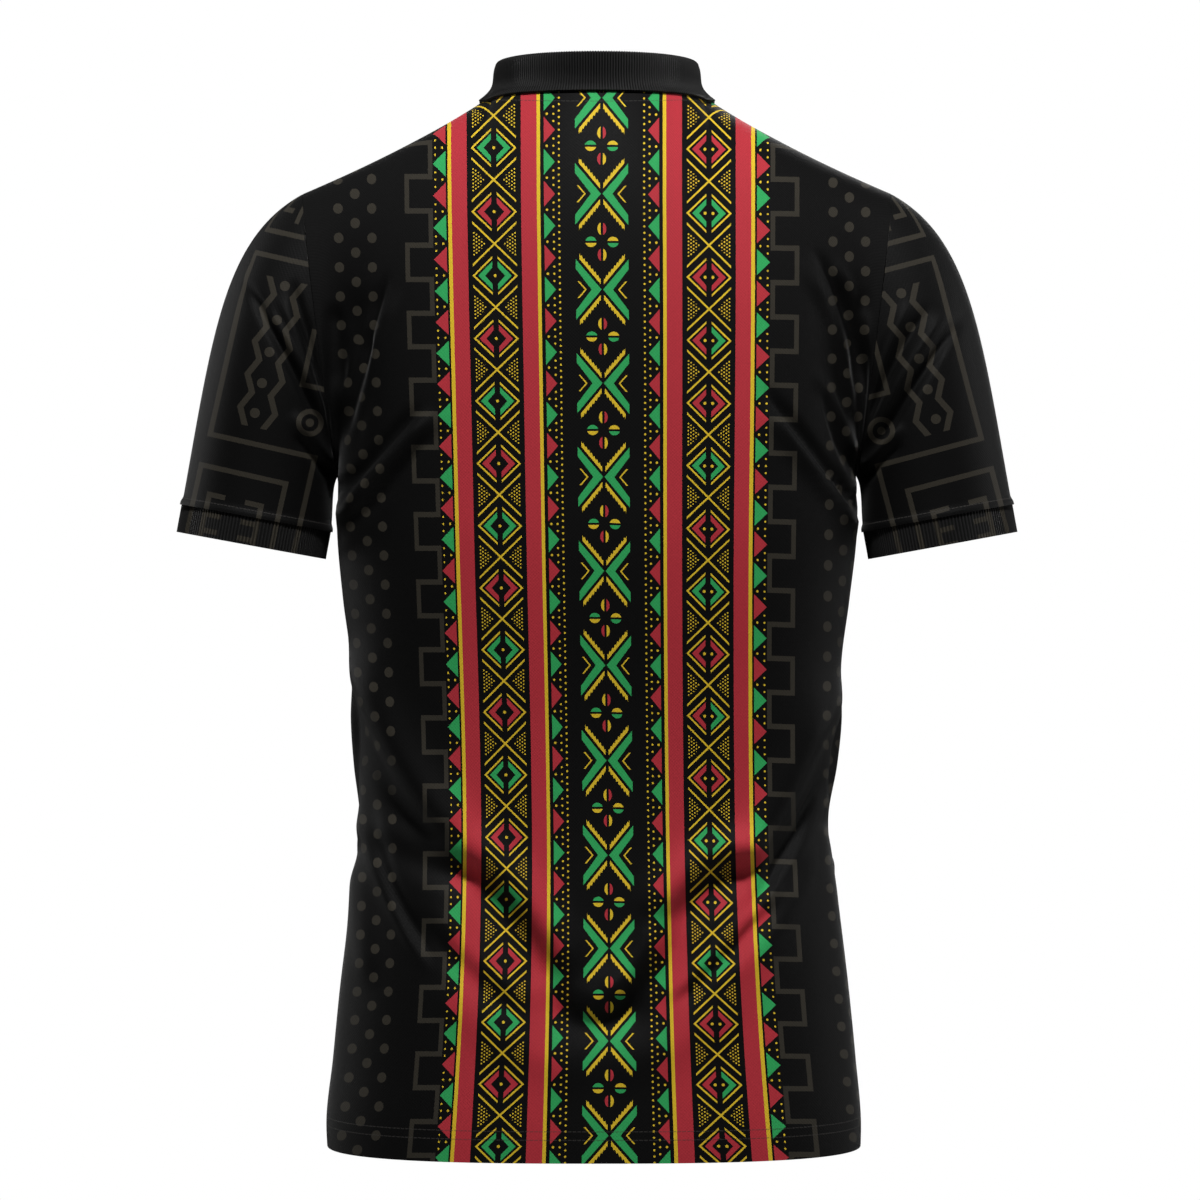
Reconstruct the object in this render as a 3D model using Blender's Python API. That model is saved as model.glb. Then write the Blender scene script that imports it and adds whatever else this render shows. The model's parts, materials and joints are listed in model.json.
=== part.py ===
# Short-sleeved polo shirt, hollow and filled out as on a standing wearer.
# Metres, +Z up. The front faces -Y and the wearer's left is +X. The origin lies midway between
# the two points where a shoulder seam meets the collar. A drop is a distance below the origin.

import math
from collections import namedtuple

import bmesh
import bpy
import numpy as np
from mathutils import Matrix, Vector

# Cloth and seams
SEAM_GAP = 0.0003
ARMHOLE_GAP = 0.00066
CUFF_GAP = 0.00036
COLLAR_GAP = 0.0004
PIQUE = 0.0013
TURNED_HEM = 0.0024
RIB_KNIT = 0.0018
STRIP_CLOTH = 0.0014

# Neck and shoulders
NECK_POINT = (0.069, 0.004)
SHOULDER_POINT = (0.197, -0.063)
SHOULDER_SAG = (0.115, -0.028)
BACK_NECK_DEPTH = 0.068
BACK_NECK_DROP = 0.009
FRONT_NECK_DEPTH = 0.074
FRONT_NECK_DROP = 0.070
NECK_ROUNDING = 1.6
# The corner at a neck point is rounded off over this reach in the cloth below it.
CORNER_REACH = 0.035
CORNER_STEPS = 9
CORNER_POWER = 8

# Body
UNDERARM_DROP = 0.252
HEM_DROP = 0.698
HEM_HEIGHT = 0.020
HEM_STEP = 0.003

# Sleeves
SLEEVE_TILT = math.radians(10.4)
CUFF_CENTRE = (0.2316, -0.2985)
CUFF_RADIUS = 0.0504
CUFF_DEPTH = 0.0520
CUFF_HEIGHT = 0.0195
SLEEVE_MEAN_RADIUS = 0.0564

# Collar
FOLD_HALF_WIDTH = 0.0655
FOLD_BACK = 0.0620
FOLD_FRONT = 0.0660
FOLD_HEIGHT = 0.0225
FOLD_FRONT_DROP = 0.0690
FOLD_RADIUS = 0.0024
COLLAR_END_GAP = 0.004
COLLAR_LIFT = 0.0006
FALL_BULGE = 0.002
FALL_SHARES = (0.35, 0.70)
EDGE_BELOW_SEAM = {"back": 0.0015, "side": 0.0085}
EDGE_SLOPE = 0.6
COLLAR_EDGE_BENDS = ((0.080, -0.026, 0.000), (0.085, -0.066, -0.047))
COLLAR_POINT = (0.052, -0.096, -0.103)

# Placket and buttons
NOTCH_HALF_WIDTH = 0.015
NOTCH_BOTTOM_ROW = 3
STRIP_HALF_WIDTH = 0.0175
STRIP_START = 0.165
STRIP_END = 0.985
BUTTON_RADIUS = 0.00575
BUTTON_THICKNESS = 0.0026
BUTTON_PLACES = (0.93, 0.66, 0.39)
# Share of the button's radius and of its thickness, from the edge of its flat back to its centre.
BUTTON_PROFILE = ((0.72, 0.0), (1.0, 0.35), (0.97, 0.8), (0.86, 1.0), (0.62, 0.72), (0.0, 0.62))
BUTTON_SIDES = 20

# Grid of the cloth walls
CURVE_STEPS = 240
WELD = 0.00001
NECK_COLUMNS = 5
SHOULDER_COLUMNS = 10
FRONT_SHOULDER_COLUMNS = 7
BODY_ROWS = 24
UPPER_ROWS = 14
SLEEVE_ROWS = 11
FOLD_ROW = 4
PATCH_POINTS = 61
PATCH_END = 0.35
PATCH_SHOULDER = 0.020
PATCH_BLEND = 0.003

# Level rings of the body, from underarm to hem. The shift moves a ring towards +X.
BodyRing = namedtuple("BodyRing", "drop half_width shift back front squareness")
BODY_RINGS = (
    BodyRing(0.252, 0.1735, 0.0000, 0.107, 0.112, 2.70),
    BodyRing(0.290, 0.1735, 0.0000, 0.106, 0.113, 2.75),
    BodyRing(0.335, 0.1690, 0.0005, 0.102, 0.112, 2.80),
    BodyRing(0.380, 0.1635, 0.0005, 0.096, 0.110, 2.85),
    BodyRing(0.415, 0.1645, 0.0005, 0.092, 0.109, 2.85),
    BodyRing(0.445, 0.1620, 0.0010, 0.090, 0.108, 2.85),
    BodyRing(0.480, 0.1570, 0.0020, 0.090, 0.107, 2.85),
    BodyRing(0.530, 0.1620, 0.0015, 0.094, 0.107, 2.80),
    BodyRing(0.590, 0.1695, 0.0018, 0.101, 0.108, 2.75),
    BodyRing(0.640, 0.1745, 0.0018, 0.106, 0.109, 2.70),
    BodyRing(0.685, 0.1785, 0.0022, 0.109, 0.110, 2.70),
    BodyRing(0.700, 0.1780, 0.0020, 0.109, 0.110, 2.70),
)

# Upper lines of a panel, by how far round from the centre they start (0 centre, 1 side). Each
# leaves the underarm ring by its rise and aside, and its upper handle lies at out and drop.
UpperLine = namedtuple("UpperLine", "round rise aside out drop")
BACK_LINES = (
    UpperLine(0.00, 0.105, 0.000, 0.107, 0.060),
    UpperLine(0.15, 0.105, 0.000, 0.105, 0.056),
    UpperLine(0.30, 0.105, 0.000, 0.098, 0.040),
    UpperLine(0.43, 0.105, 0.000, 0.086, 0.026),
    UpperLine(0.60, 0.100, 0.002, 0.075, 0.029),
    UpperLine(0.80, 0.070, 0.014, 0.070, 0.050),
    UpperLine(0.92, 0.035, 0.036, 0.070, 0.065),
    UpperLine(1.00, 0.007, 0.060, 0.070, 0.076),
)
FRONT_LINES = (
    UpperLine(0.00, 0.070, 0.000, 0.098, 0.106),
    UpperLine(0.15, 0.070, 0.000, 0.097, 0.100),
    UpperLine(0.32, 0.080, 0.000, 0.094, 0.072),
    UpperLine(0.49, 0.095, 0.000, 0.085, 0.030),
    UpperLine(0.65, 0.095, 0.002, 0.075, 0.031),
    UpperLine(0.82, 0.065, 0.016, 0.070, 0.052),
    UpperLine(0.93, 0.032, 0.038, 0.072, 0.067),
    UpperLine(1.00, 0.006, 0.062, 0.073, 0.078),
)
HANDLE_LEAN = 0.12

# How a sleeve leaves the armhole, by angle from the shoulder point (out, aside and down), and the
# length that holds its line straight at the cuff.
SleeveLine = namedtuple("SleeveLine", "angle out aside down finish")
SLEEVE_LINES = (
    SleeveLine(0, 0.0550, 0.000, 0.030, 0.110),
    SleeveLine(45, 0.0500, 0.010, 0.034, 0.085),
    SleeveLine(90, 0.0300, 0.010, 0.034, 0.055),
    SleeveLine(135, 0.0140, 0.004, 0.018, 0.028),
    SleeveLine(180, 0.0045, 0.000, 0.007, 0.013),
)

# Largest folds. On the body, x is how far from the centre the fold is seen, and a positive
# height is a ridge. The bend moves the middle of the fold sideways, and skew raises one side.
Fold = namedtuple("Fold", "x0 drop0 x1 drop1 bend width height skew")
BACK_FOLDS = (
    Fold(0.160, 0.385, 0.094, 0.480, -0.007, 0.015, -0.0072, 0.4),
    Fold(0.108, 0.468, 0.002, 0.602, 0.004, 0.017, -0.0072, 0.3),
    Fold(0.153, 0.475, 0.098, 0.590, 0.003, 0.013, -0.0060, -0.4),
    Fold(0.110, 0.560, -0.012, 0.636, -0.007, 0.015, 0.0062, 0.0),
    Fold(0.100, 0.560, -0.045, 0.600, -0.026, 0.014, -0.0036, 0.0),
    Fold(-0.161, 0.395, -0.108, 0.510, -0.006, 0.015, -0.0072, -0.4),
    Fold(-0.118, 0.495, -0.002, 0.602, -0.015, 0.016, -0.0066, -0.3),
    Fold(-0.150, 0.455, -0.042, 0.598, 0.009, 0.014, -0.0055, 0.3),
    Fold(-0.138, 0.492, 0.012, 0.636, 0.020, 0.015, 0.0062, 0.0),
    Fold(0.166, 0.290, 0.108, 0.222, 0.002, 0.012, 0.0038, 0.0),
    Fold(-0.164, 0.280, -0.116, 0.214, -0.002, 0.012, 0.0036, 0.0),
)
FRONT_FOLDS = (
    Fold(0.166, 0.300, 0.090, 0.215, 0.006, 0.014, 0.0042, 0.0),
    Fold(-0.164, 0.290, -0.094, 0.208, -0.006, 0.014, 0.0040, 0.0),
    Fold(0.158, 0.420, 0.050, 0.535, -0.010, 0.016, -0.0066, 0.3),
    Fold(-0.160, 0.435, -0.036, 0.560, -0.014, 0.016, -0.0062, -0.3),
    Fold(0.142, 0.510, 0.010, 0.612, -0.014, 0.016, 0.0054, 0.0),
    Fold(-0.146, 0.525, -0.022, 0.626, 0.012, 0.016, 0.0048, 0.0),
)
# On a sleeve, x is the way round from its outer line towards the back, and the drop runs along
# it from the armhole.
SLEEVE_FOLDS = {
    1: (
        Fold(0.035, 0.060, 0.100, 0.075, 0.004, 0.008, -0.0030, 0.4),
        Fold(0.070, 0.035, 0.125, 0.060, 0.003, 0.007, -0.0025, 0.3),
        Fold(-0.050, 0.060, -0.115, 0.085, 0.004, 0.009, -0.0030, 0.3),
    ),
    -1: (
        Fold(0.030, 0.085, 0.115, 0.075, 0.006, 0.008, -0.0030, 0.4),
        Fold(0.060, 0.060, 0.110, 0.045, 0.003, 0.007, -0.0025, 0.3),
        Fold(-0.045, 0.070, -0.110, 0.080, 0.004, 0.009, -0.0030, 0.3),
    ),
}

# Each fold is followed in this many pieces and fades over this share of its ends. The folds
# also fade within a hold of the side seams, and over a share of the sleeve's ends.
FOLD_PIECES = 9
FOLD_FADE = 0.25
SIDE_HOLD = 0.018
SLEEVE_HOLD = 0.2

BACK, FRONT = 1, -1
LEFT, RIGHT = 1, -1


def read(table, key, column, at):
    # Smooth curve through one column of a table.
    keys = np.array([getattr(row, key) for row in table], float)
    values = np.array([getattr(row, column) for row in table], float)
    slopes = np.gradient(values, keys)
    at = np.clip(at, keys[0], keys[-1])
    low = np.clip(np.searchsorted(keys, at) - 1, 0, len(keys) - 2)
    step = keys[low + 1] - keys[low]
    t = (at - keys[low]) / step
    start = values[low] * (2 * t**3 - 3 * t**2 + 1) + slopes[low] * step * (t**3 - 2 * t**2 + t)
    end = values[low + 1] * (3 * t**2 - 2 * t**3) + slopes[low + 1] * step * (t**3 - t**2)
    return start + end


def unit(vectors):
    vectors = np.asarray(vectors, float)
    return vectors / np.linalg.norm(vectors, axis=-1, keepdims=True)


def eased(share):
    share = np.clip(share, 0, 1)
    return share * share * (3 - 2 * share)


def lengths_along(points):
    steps = np.linalg.norm(np.diff(points, axis=0), axis=1)
    return np.concatenate([[0.0], np.cumsum(steps)])


def point_at(points, distance):
    along = lengths_along(points)
    return np.array([np.interp(distance, along, points[:, axis]) for axis in range(3)])


def bezier(p0, p1, p2, p3, t):
    t = np.asarray(t, float)[:, None]
    return p0 * (1 - t) ** 3 + 3 * p1 * t * (1 - t) ** 2 + 3 * p2 * t**2 * (1 - t) + p3 * t**3


def half_ring(face, side, drop):
    # Level section of the body, from the centre of the back or front to a side seam.
    angle = np.linspace(0, math.pi / 2, CURVE_STEPS + 1)
    power = 2 / read(BODY_RINGS, "drop", "squareness", drop)
    depth = read(BODY_RINGS, "drop", "back" if face == BACK else "front", drop)
    half_width = read(BODY_RINGS, "drop", "half_width", drop)
    shift = read(BODY_RINGS, "drop", "shift", drop)
    x = shift + side * half_width * np.sin(angle) ** power
    x[0] = shift
    y = face * depth * np.clip(np.cos(angle), 0, 1) ** power
    y[-1] = 0.0
    return np.stack([x, y, np.full_like(x, -drop)], axis=1)


def neck_seam(face, side, angle):
    # Angle 0 is the shoulder's end of the neckline and a right angle is its centre.
    depth = BACK_NECK_DEPTH if face == BACK else FRONT_NECK_DEPTH
    drop = BACK_NECK_DROP if face == BACK else FRONT_NECK_DROP
    x = side * NECK_POINT[0] * np.cos(angle)
    y = face * depth * np.sin(angle)
    z = NECK_POINT[1] - drop * np.sin(angle) ** NECK_ROUNDING
    return np.stack([x, y, z], axis=-1)


def top_line(face, side):
    # Neckline from the centre to the neck point, then the shoulder seam. Also gives the
    # neckline's length.
    neck = neck_seam(face, side, np.linspace(math.pi / 2, 0, CURVE_STEPS // 2))
    t = np.linspace(0, 1, CURVE_STEPS // 4)[1:, None]
    ends = [np.array(p) for p in (NECK_POINT, SHOULDER_SAG, SHOULDER_POINT)]
    flat = ends[0] * (1 - t) ** 2 + 2 * ends[1] * t * (1 - t) + ends[2] * t**2
    seam = np.stack([side * flat[:, 0], np.zeros(len(flat)), flat[:, 1]], axis=1)
    return np.concatenate([neck, seam]), lengths_along(neck)[-1]


def rounded_head(points, distance):
    # Place on a line with its corners rounded off, as a mean over a stretch of it.
    reach = min(CORNER_REACH, distance, lengths_along(points)[-1] - distance)
    steps = np.linspace(-1, 1, CORNER_STEPS)[1:-1]
    stretch = np.array([point_at(points, distance + reach * step) for step in steps])
    return np.average(stretch, axis=0, weights=1 - abs(steps))


def upper_line(face, side, ring_distance, top_distance, t):
    # One line of a panel from the underarm ring up to the neckline or the shoulder seam.
    ring = half_ring(face, side, UNDERARM_DROP)
    below = half_ring(face, side, UNDERARM_DROP + 0.01)
    round_share = ring_distance / lengths_along(ring)[-1]
    table = BACK_LINES if face == BACK else FRONT_LINES
    line = {name: read(table, "round", name, round_share) for name in ("rise", "aside", "out", "drop")}
    foot = point_at(ring, ring_distance)
    lower = point_at(below, round_share * lengths_along(below)[-1])
    top = top_line(face, side)[0]
    head = point_at(top, top_distance)
    soft = rounded_head(top, top_distance)
    rising = foot + unit(foot - lower) * line["rise"] + np.array([0, face * line["aside"], 0])
    handle_x = head[0] + (foot[0] - head[0]) * HANDLE_LEAN
    handle = np.array([handle_x, face * line["out"], -line["drop"]])
    return bezier(foot, rising, handle, soft, t) + np.outer(np.asarray(t) ** CORNER_POWER, head - soft)


def column_places(face, side):
    # Distances of a panel's columns from its centre, on the underarm ring and on the top line.
    ring_length = lengths_along(half_ring(face, side, UNDERARM_DROP))[-1]
    top, neck_length = top_line(face, side)
    top_length = lengths_along(top)[-1]
    shoulder_columns = SHOULDER_COLUMNS if face == BACK else FRONT_SHOULDER_COLUMNS
    start = 0.0 if face == BACK else NOTCH_HALF_WIDTH
    neck = np.linspace(start, neck_length, NECK_COLUMNS + (face == BACK))
    shoulder = np.linspace(neck_length, top_length, shoulder_columns + 1)[1:]
    tops = np.concatenate([neck, shoulder])
    rings = start + (tops - start) / (top_length - start) * (ring_length - start)
    if face == FRONT:
        tops = np.concatenate([[0.0], tops])
        rings = np.concatenate([[0.0], rings])
    return rings, tops


def body_drops():
    plain = np.linspace(HEM_DROP - HEM_HEIGHT - HEM_STEP, UNDERARM_DROP, BODY_ROWS)
    return np.concatenate([[HEM_DROP, HEM_DROP - HEM_HEIGHT], plain])


def half_panel(face, side):
    # Rows run from hem to top, columns from the centre to the side.
    rings, tops = column_places(face, side)
    shares = rings / rings[-1]
    rows = []
    for drop in body_drops():
        ring = half_ring(face, side, drop)
        length = lengths_along(ring)[-1]
        rows.append([point_at(ring, share * length) for share in shares])
    steps = np.linspace(0, 1, UPPER_ROWS + 1)
    upper = [upper_line(face, side, *place, steps) for place in zip(rings, tops)]
    upper = np.stack(upper, axis=1)[1:]
    return np.concatenate([np.array(rows), upper])


def places_across(face):
    # Distance of each column round the body from the panel's centre, positive to the left.
    left = column_places(face, LEFT)[0]
    right = column_places(face, RIGHT)[0]
    return np.concatenate([left[::-1], -right[1:]])


def panel_surface(face):
    left = half_panel(face, LEFT)
    right = half_panel(face, RIGHT)
    grid = np.concatenate([left[:, ::-1], right[:, 1:]], axis=1)
    grid[..., 1] += face * SEAM_GAP / 2
    return grid


def grid_normals(points, wrap=False):
    if wrap:
        across = np.roll(points, -1, axis=1) - np.roll(points, 1, axis=1)
    else:
        across = np.gradient(points, axis=1)
    along = np.gradient(points, axis=0)
    return unit(np.cross(across, along))


def seam_normals(points, face):
    # A panel's wall ends square to its neighbour's at the side and shoulder seams.
    normals = grid_normals(points) * face
    below = len(body_drops())
    side_columns = SHOULDER_COLUMNS if face == BACK else FRONT_SHOULDER_COLUMNS
    normals[:below, [0, -1], 1] = 0.0
    top = np.arange(points.shape[1])
    on_shoulder = (top <= side_columns) | (top >= points.shape[1] - 1 - side_columns)
    normals[-1, on_shoulder, 1] = 0.0
    return unit(normals)


def seen_at(face, x, drop):
    # Distance round the underarm ring of the column that is seen at x.
    side = LEFT if x >= 0 else RIGHT
    ring = half_ring(face, side, max(drop, UNDERARM_DROP))
    along = lengths_along(ring)
    share = np.interp(abs(x), abs(ring[:, 0]), along) / along[-1]
    return side * share * lengths_along(half_ring(face, side, UNDERARM_DROP))[-1]


def fold_height(folds, across, drop, face=None):
    # Sum of the folds at each point. Distances are taken to short pieces of each bent fold.
    total = np.zeros_like(across)
    for fold in folds:
        start = np.array([fold.x0, fold.drop0])
        end = np.array([fold.x1, fold.drop1])
        run = end - start
        sideways = np.array([-run[1], run[0]]) / np.linalg.norm(run)
        nearest = np.full(across.shape, np.inf)
        signed = np.zeros_like(across)
        place = np.zeros_like(across)
        shares = np.linspace(0, 1, FOLD_PIECES + 1)
        knots = [start + run * s + sideways * fold.bend * 4 * s * (1 - s) for s in shares]
        if face is not None:
            knots = [np.array([seen_at(face, *knot), knot[1]]) for knot in knots]
        for number in range(FOLD_PIECES):
            a, b = knots[number], knots[number + 1]
            ab = b - a
            t = np.clip(((across - a[0]) * ab[0] + (drop - a[1]) * ab[1]) / (ab @ ab), 0, 1)
            dx, dy = across - a[0] - t * ab[0], drop - a[1] - t * ab[1]
            distance = np.hypot(dx, dy)
            closer = distance < nearest
            nearest = np.where(closer, distance, nearest)
            signed = np.where(closer, np.sign(ab[0] * dy - ab[1] * dx) * distance, signed)
            place = np.where(closer, (number + t) / FOLD_PIECES, place)
        fade = eased(np.minimum(place, 1 - place) / FOLD_FADE)
        reach = signed / fold.width
        total += fold.height * fade * np.exp(-reach * reach) * (1 + fold.skew * reach)
    return total


def cloth_wall(name, outer, inner, wrap=False, cut=None):
    # Closed wall between two grids of points. Cells marked in cut are left open.
    rows, columns = outer.shape[:2]
    cells = columns if wrap else columns - 1
    keep = np.ones((rows - 1, cells), bool) if cut is None else ~cut
    vertices = np.concatenate([outer.reshape(-1, 3), inner.reshape(-1, 3)])
    under = rows * columns

    def vertex(row, column):
        return row * columns + column % columns

    def kept(row, column):
        if wrap:
            column %= cells
        return 0 <= row < rows - 1 and 0 <= column < cells and keep[row, column]

    faces = []
    for row in range(rows - 1):
        for column in range(cells):
            if not keep[row, column]:
                continue
            corners = [vertex(row, column), vertex(row, column + 1),
                       vertex(row + 1, column + 1), vertex(row + 1, column)]
            faces.append(corners)
            faces.append([under + corner for corner in reversed(corners)])
            neighbours = ((row - 1, column), (row, column + 1), (row + 1, column), (row, column - 1))
            for edge, neighbour in enumerate(neighbours):
                if not kept(*neighbour):
                    a, b = corners[edge], corners[(edge + 1) % 4]
                    faces.append([b, a, under + a, under + b])
    mesh = bpy.data.meshes.new(name)
    mesh.from_pydata([tuple(v) for v in vertices], [], faces)
    return finish_mesh(name, mesh)


def finish_mesh(name, mesh):
    work = bmesh.new()
    work.from_mesh(mesh)
    loose = [v for v in work.verts if not v.link_faces]
    bmesh.ops.delete(work, geom=loose, context="VERTS")
    bmesh.ops.recalc_face_normals(work, faces=work.faces)
    work.to_mesh(mesh)
    work.free()
    mesh.shade_smooth()
    mesh.set_sharp_from_angle(angle=math.radians(50))
    return bpy.data.objects.new(name, mesh)


def shaped_panel(face):
    # Panel with its folds, and the normals that its thickness and its trims follow.
    plain = panel_surface(face)
    normals = seam_normals(plain, face)
    across = np.repeat(places_across(face)[None, :], len(plain), axis=0)
    height = fold_height(BACK_FOLDS if face == BACK else FRONT_FOLDS, across, -plain[..., 2], face)
    height *= eased((across.max() - abs(across)) / SIDE_HOLD)
    points = plain + normals * height[..., None]
    return points, seam_normals(points, face)


def panel_node(name, face, points, normals):
    thickness = np.full(points.shape[:2], PIQUE)
    thickness[:2] = TURNED_HEM
    cut = None
    if face == FRONT:
        middle = points.shape[1] // 2
        cut = np.zeros((points.shape[0] - 1, points.shape[1] - 1), bool)
        cut[len(body_drops()) - 1 + NOTCH_BOTTOM_ROW:, middle - 1:middle + 1] = True
    return cloth_wall(name, points, points - normals * thickness[..., None], cut=cut)


def armhole(panels, side):
    # Loop of seam points from the shoulder point down the back, and up the front.
    column = 0 if side == LEFT else -1
    first = len(body_drops()) - 1
    back = panels[BACK][0][first:, column][::-1]
    front = panels[FRONT][0][first:, column]
    loop = np.concatenate([back, front[1:-1]])
    loop[UPPER_ROWS] = (back[-1] + front[0]) / 2
    loop[0] = (back[0] + front[-1]) / 2
    return loop


def sleeve_axes(side):
    down = np.array([side * math.sin(SLEEVE_TILT), 0, -math.cos(SLEEVE_TILT)])
    out = np.array([side * math.cos(SLEEVE_TILT), 0, math.sin(SLEEVE_TILT)])
    return down, out


def cuff_ring(side, angles, above):
    down, out = sleeve_axes(side)
    centre = np.array([side * CUFF_CENTRE[0], 0, CUFF_CENTRE[1]]) - down * above
    ring = centre + np.outer(np.cos(angles) * CUFF_RADIUS, out)
    ring[:, 1] += np.sin(angles) * CUFF_DEPTH
    return ring


def sleeve_surface(loop, side):
    # Rows run from the armhole to the cuff seam, columns from the outer line round the back.
    count = len(loop)
    half = UPPER_ROWS
    back = lengths_along(loop[:half + 1])
    front = lengths_along(np.concatenate([loop[half:], loop[:1]]))
    angles = np.concatenate([back / back[-1] * math.pi, math.pi + front[1:-1] / front[-1] * math.pi])
    ends = cuff_ring(side, angles, CUFF_HEIGHT + CUFF_GAP)
    down, _ = sleeve_axes(side)
    t = np.linspace(0, 1, SLEEVE_ROWS + 1)
    lines = []
    for number in range(count):
        turn = math.degrees(angles[number])
        face = BACK if turn <= 180 else FRONT
        turn = turn if turn <= 180 else 360 - turn
        line = {name: read(SLEEVE_LINES, "angle", name, turn) for name in ("out", "aside", "down", "finish")}
        leaving = np.array([side * line["out"], face * line["aside"], -line["down"]])
        start = loop[number] + unit(leaving) * ARMHOLE_GAP
        lines.append(bezier(start, start + leaving, ends[number] - down * line["finish"], ends[number], t))
    return np.stack(lines, axis=1), angles


def sleeve_nodes(label, panels, side):
    loop = armhole(panels, side)
    points, angles = sleeve_surface(loop, side)
    centres = points.mean(axis=1, keepdims=True)
    normals = grid_normals(points, wrap=True)
    if ((points - centres) * normals).sum() < 0:
        normals = -normals
    signed = np.where(angles > math.pi, angles - 2 * math.pi, angles)
    across = np.repeat((signed * SLEEVE_MEAN_RADIUS)[None, :], len(points), axis=0)
    along = np.array([lengths_along(points[:, c]) for c in range(points.shape[1])]).T
    share = np.linspace(0, 1, len(points))[:, None]
    hold = eased(share / SLEEVE_HOLD) * eased((1 - share) / SLEEVE_HOLD)
    height = fold_height(SLEEVE_FOLDS[side], across, along) * hold
    points = points + normals * height[..., None]
    sleeve = cloth_wall("sleeve_" + label, points, points - normals * PIQUE, wrap=True)
    down, _ = sleeve_axes(side)
    rows = [cuff_ring(side, angles, CUFF_HEIGHT * s) for s in (1.0, 0.5, 0.0)]
    band = np.stack(rows)
    outward = grid_normals(band, wrap=True)
    if ((band - band.mean(axis=1, keepdims=True)) * outward).sum() < 0:
        outward = -outward
    cuff = cloth_wall("cuff_" + label, band, band - outward * RIB_KNIT, wrap=True)
    return sleeve, cuff


def patch_near_neck(face, side):
    # Close grid of surface points below the neckline and the shoulder's inner part.
    top, neck_length = top_line(face, side)
    whole = lengths_along(top)[-1]
    ring_length = lengths_along(half_ring(face, side, UNDERARM_DROP))[-1]
    t = np.linspace(1, PATCH_END, PATCH_POINTS)
    places = np.linspace(0, neck_length + PATCH_SHOULDER, PATCH_POINTS)
    lines = [upper_line(face, side, place / whole * ring_length, place, t) for place in places]
    points = np.stack(lines, axis=1)
    points[..., 1] += face * SEAM_GAP / 2
    normals = grid_normals(points)
    middle = normals[PATCH_POINTS // 2, PATCH_POINTS // 2]
    return points, normals if middle[1] * face > 0 else -normals


def above_cloth(patch, target):
    # The cloth's normal by a point, and the point's height above the cloth.
    points, normals = patch
    apart = ((points - target) ** 2).sum(axis=-1)
    weight = np.exp((apart.min() - apart) / (2 * PATCH_BLEND**2))[..., None]
    normal = unit((normals * weight).sum(axis=(0, 1)))
    base = (points * weight).sum(axis=(0, 1)) / weight.sum()
    return normal, (target - base) @ normal


def rest_on(patch, target, lift):
    normal, height = above_cloth(patch, target)
    return target + normal * (lift - height)


def clear_of(patch, target, lift):
    normal, height = above_cloth(patch, target)
    return target + normal * max(0.0, lift - height)


def neck_stations(face, side):
    # Places round the neckline at the panel's columns and halfway between them, from the centre
    # to the neck point, as angles and as points on the panel's edge.
    top, neck_length = top_line(face, side)
    columns = [place for place in column_places(face, side)[1] if place < neck_length + SEAM_GAP]
    edge = np.array([point_at(top, place) for place in columns])
    places = np.linspace(0, len(columns) - 1, 2 * len(columns) - 1)
    seams = np.stack([np.interp(places, range(len(columns)), edge[:, axis]) for axis in range(3)], axis=1)
    distances = np.interp(places, range(len(columns)), columns)
    if face == FRONT:
        seams[0] = point_at(edge, COLLAR_END_GAP)
        distances[0] = COLLAR_END_GAP
    arc = np.linspace(math.pi / 2, 0, CURVE_STEPS // 2)
    angles = np.interp(distances, lengths_along(neck_seam(face, side, arc)), arc)
    return angles, seams


def stand_foot(seam, along, patch, outward, rising):
    # Lower end of the neck side, past the panel's cut edge by the seam's gap.
    normal, _ = above_cloth(patch, seam)
    inward = unit(np.cross(along, normal))
    inward = inward if inward @ outward < 0 else -inward
    across = unit(outward - rising * (outward @ rising))
    foot = seam - across * PIQUE
    nearest = min((foot - seam) @ inward, (foot + across * RIB_KNIT - seam) @ inward)
    return foot + inward * (COLLAR_GAP - nearest)


def collar_edge(face, side, angle, seam, outward):
    # Where the fall's edge lies: close below the back neck seam, and out to a point in front.
    if face == BACK:
        turned = math.sin(angle)
        below = EDGE_BELOW_SEAM["side"] * (1 - turned) + EDGE_BELOW_SEAM["back"] * turned
        return seam + outward * below - np.array([0, 0, EDGE_SLOPE * below])
    share = angle / (math.pi / 2)
    bends = [np.array([side, 1, 1]) * bend for bend in COLLAR_EDGE_BENDS]
    point = np.array([side, 1, 1]) * COLLAR_POINT
    return bezier(seam_at_shoulder(side), *bends, point, [share])[0]


def seam_at_shoulder(side):
    out = EDGE_BELOW_SEAM["side"]
    return np.array([side * (NECK_POINT[0] + out), 0, NECK_POINT[1] - EDGE_SLOPE * out])


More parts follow.
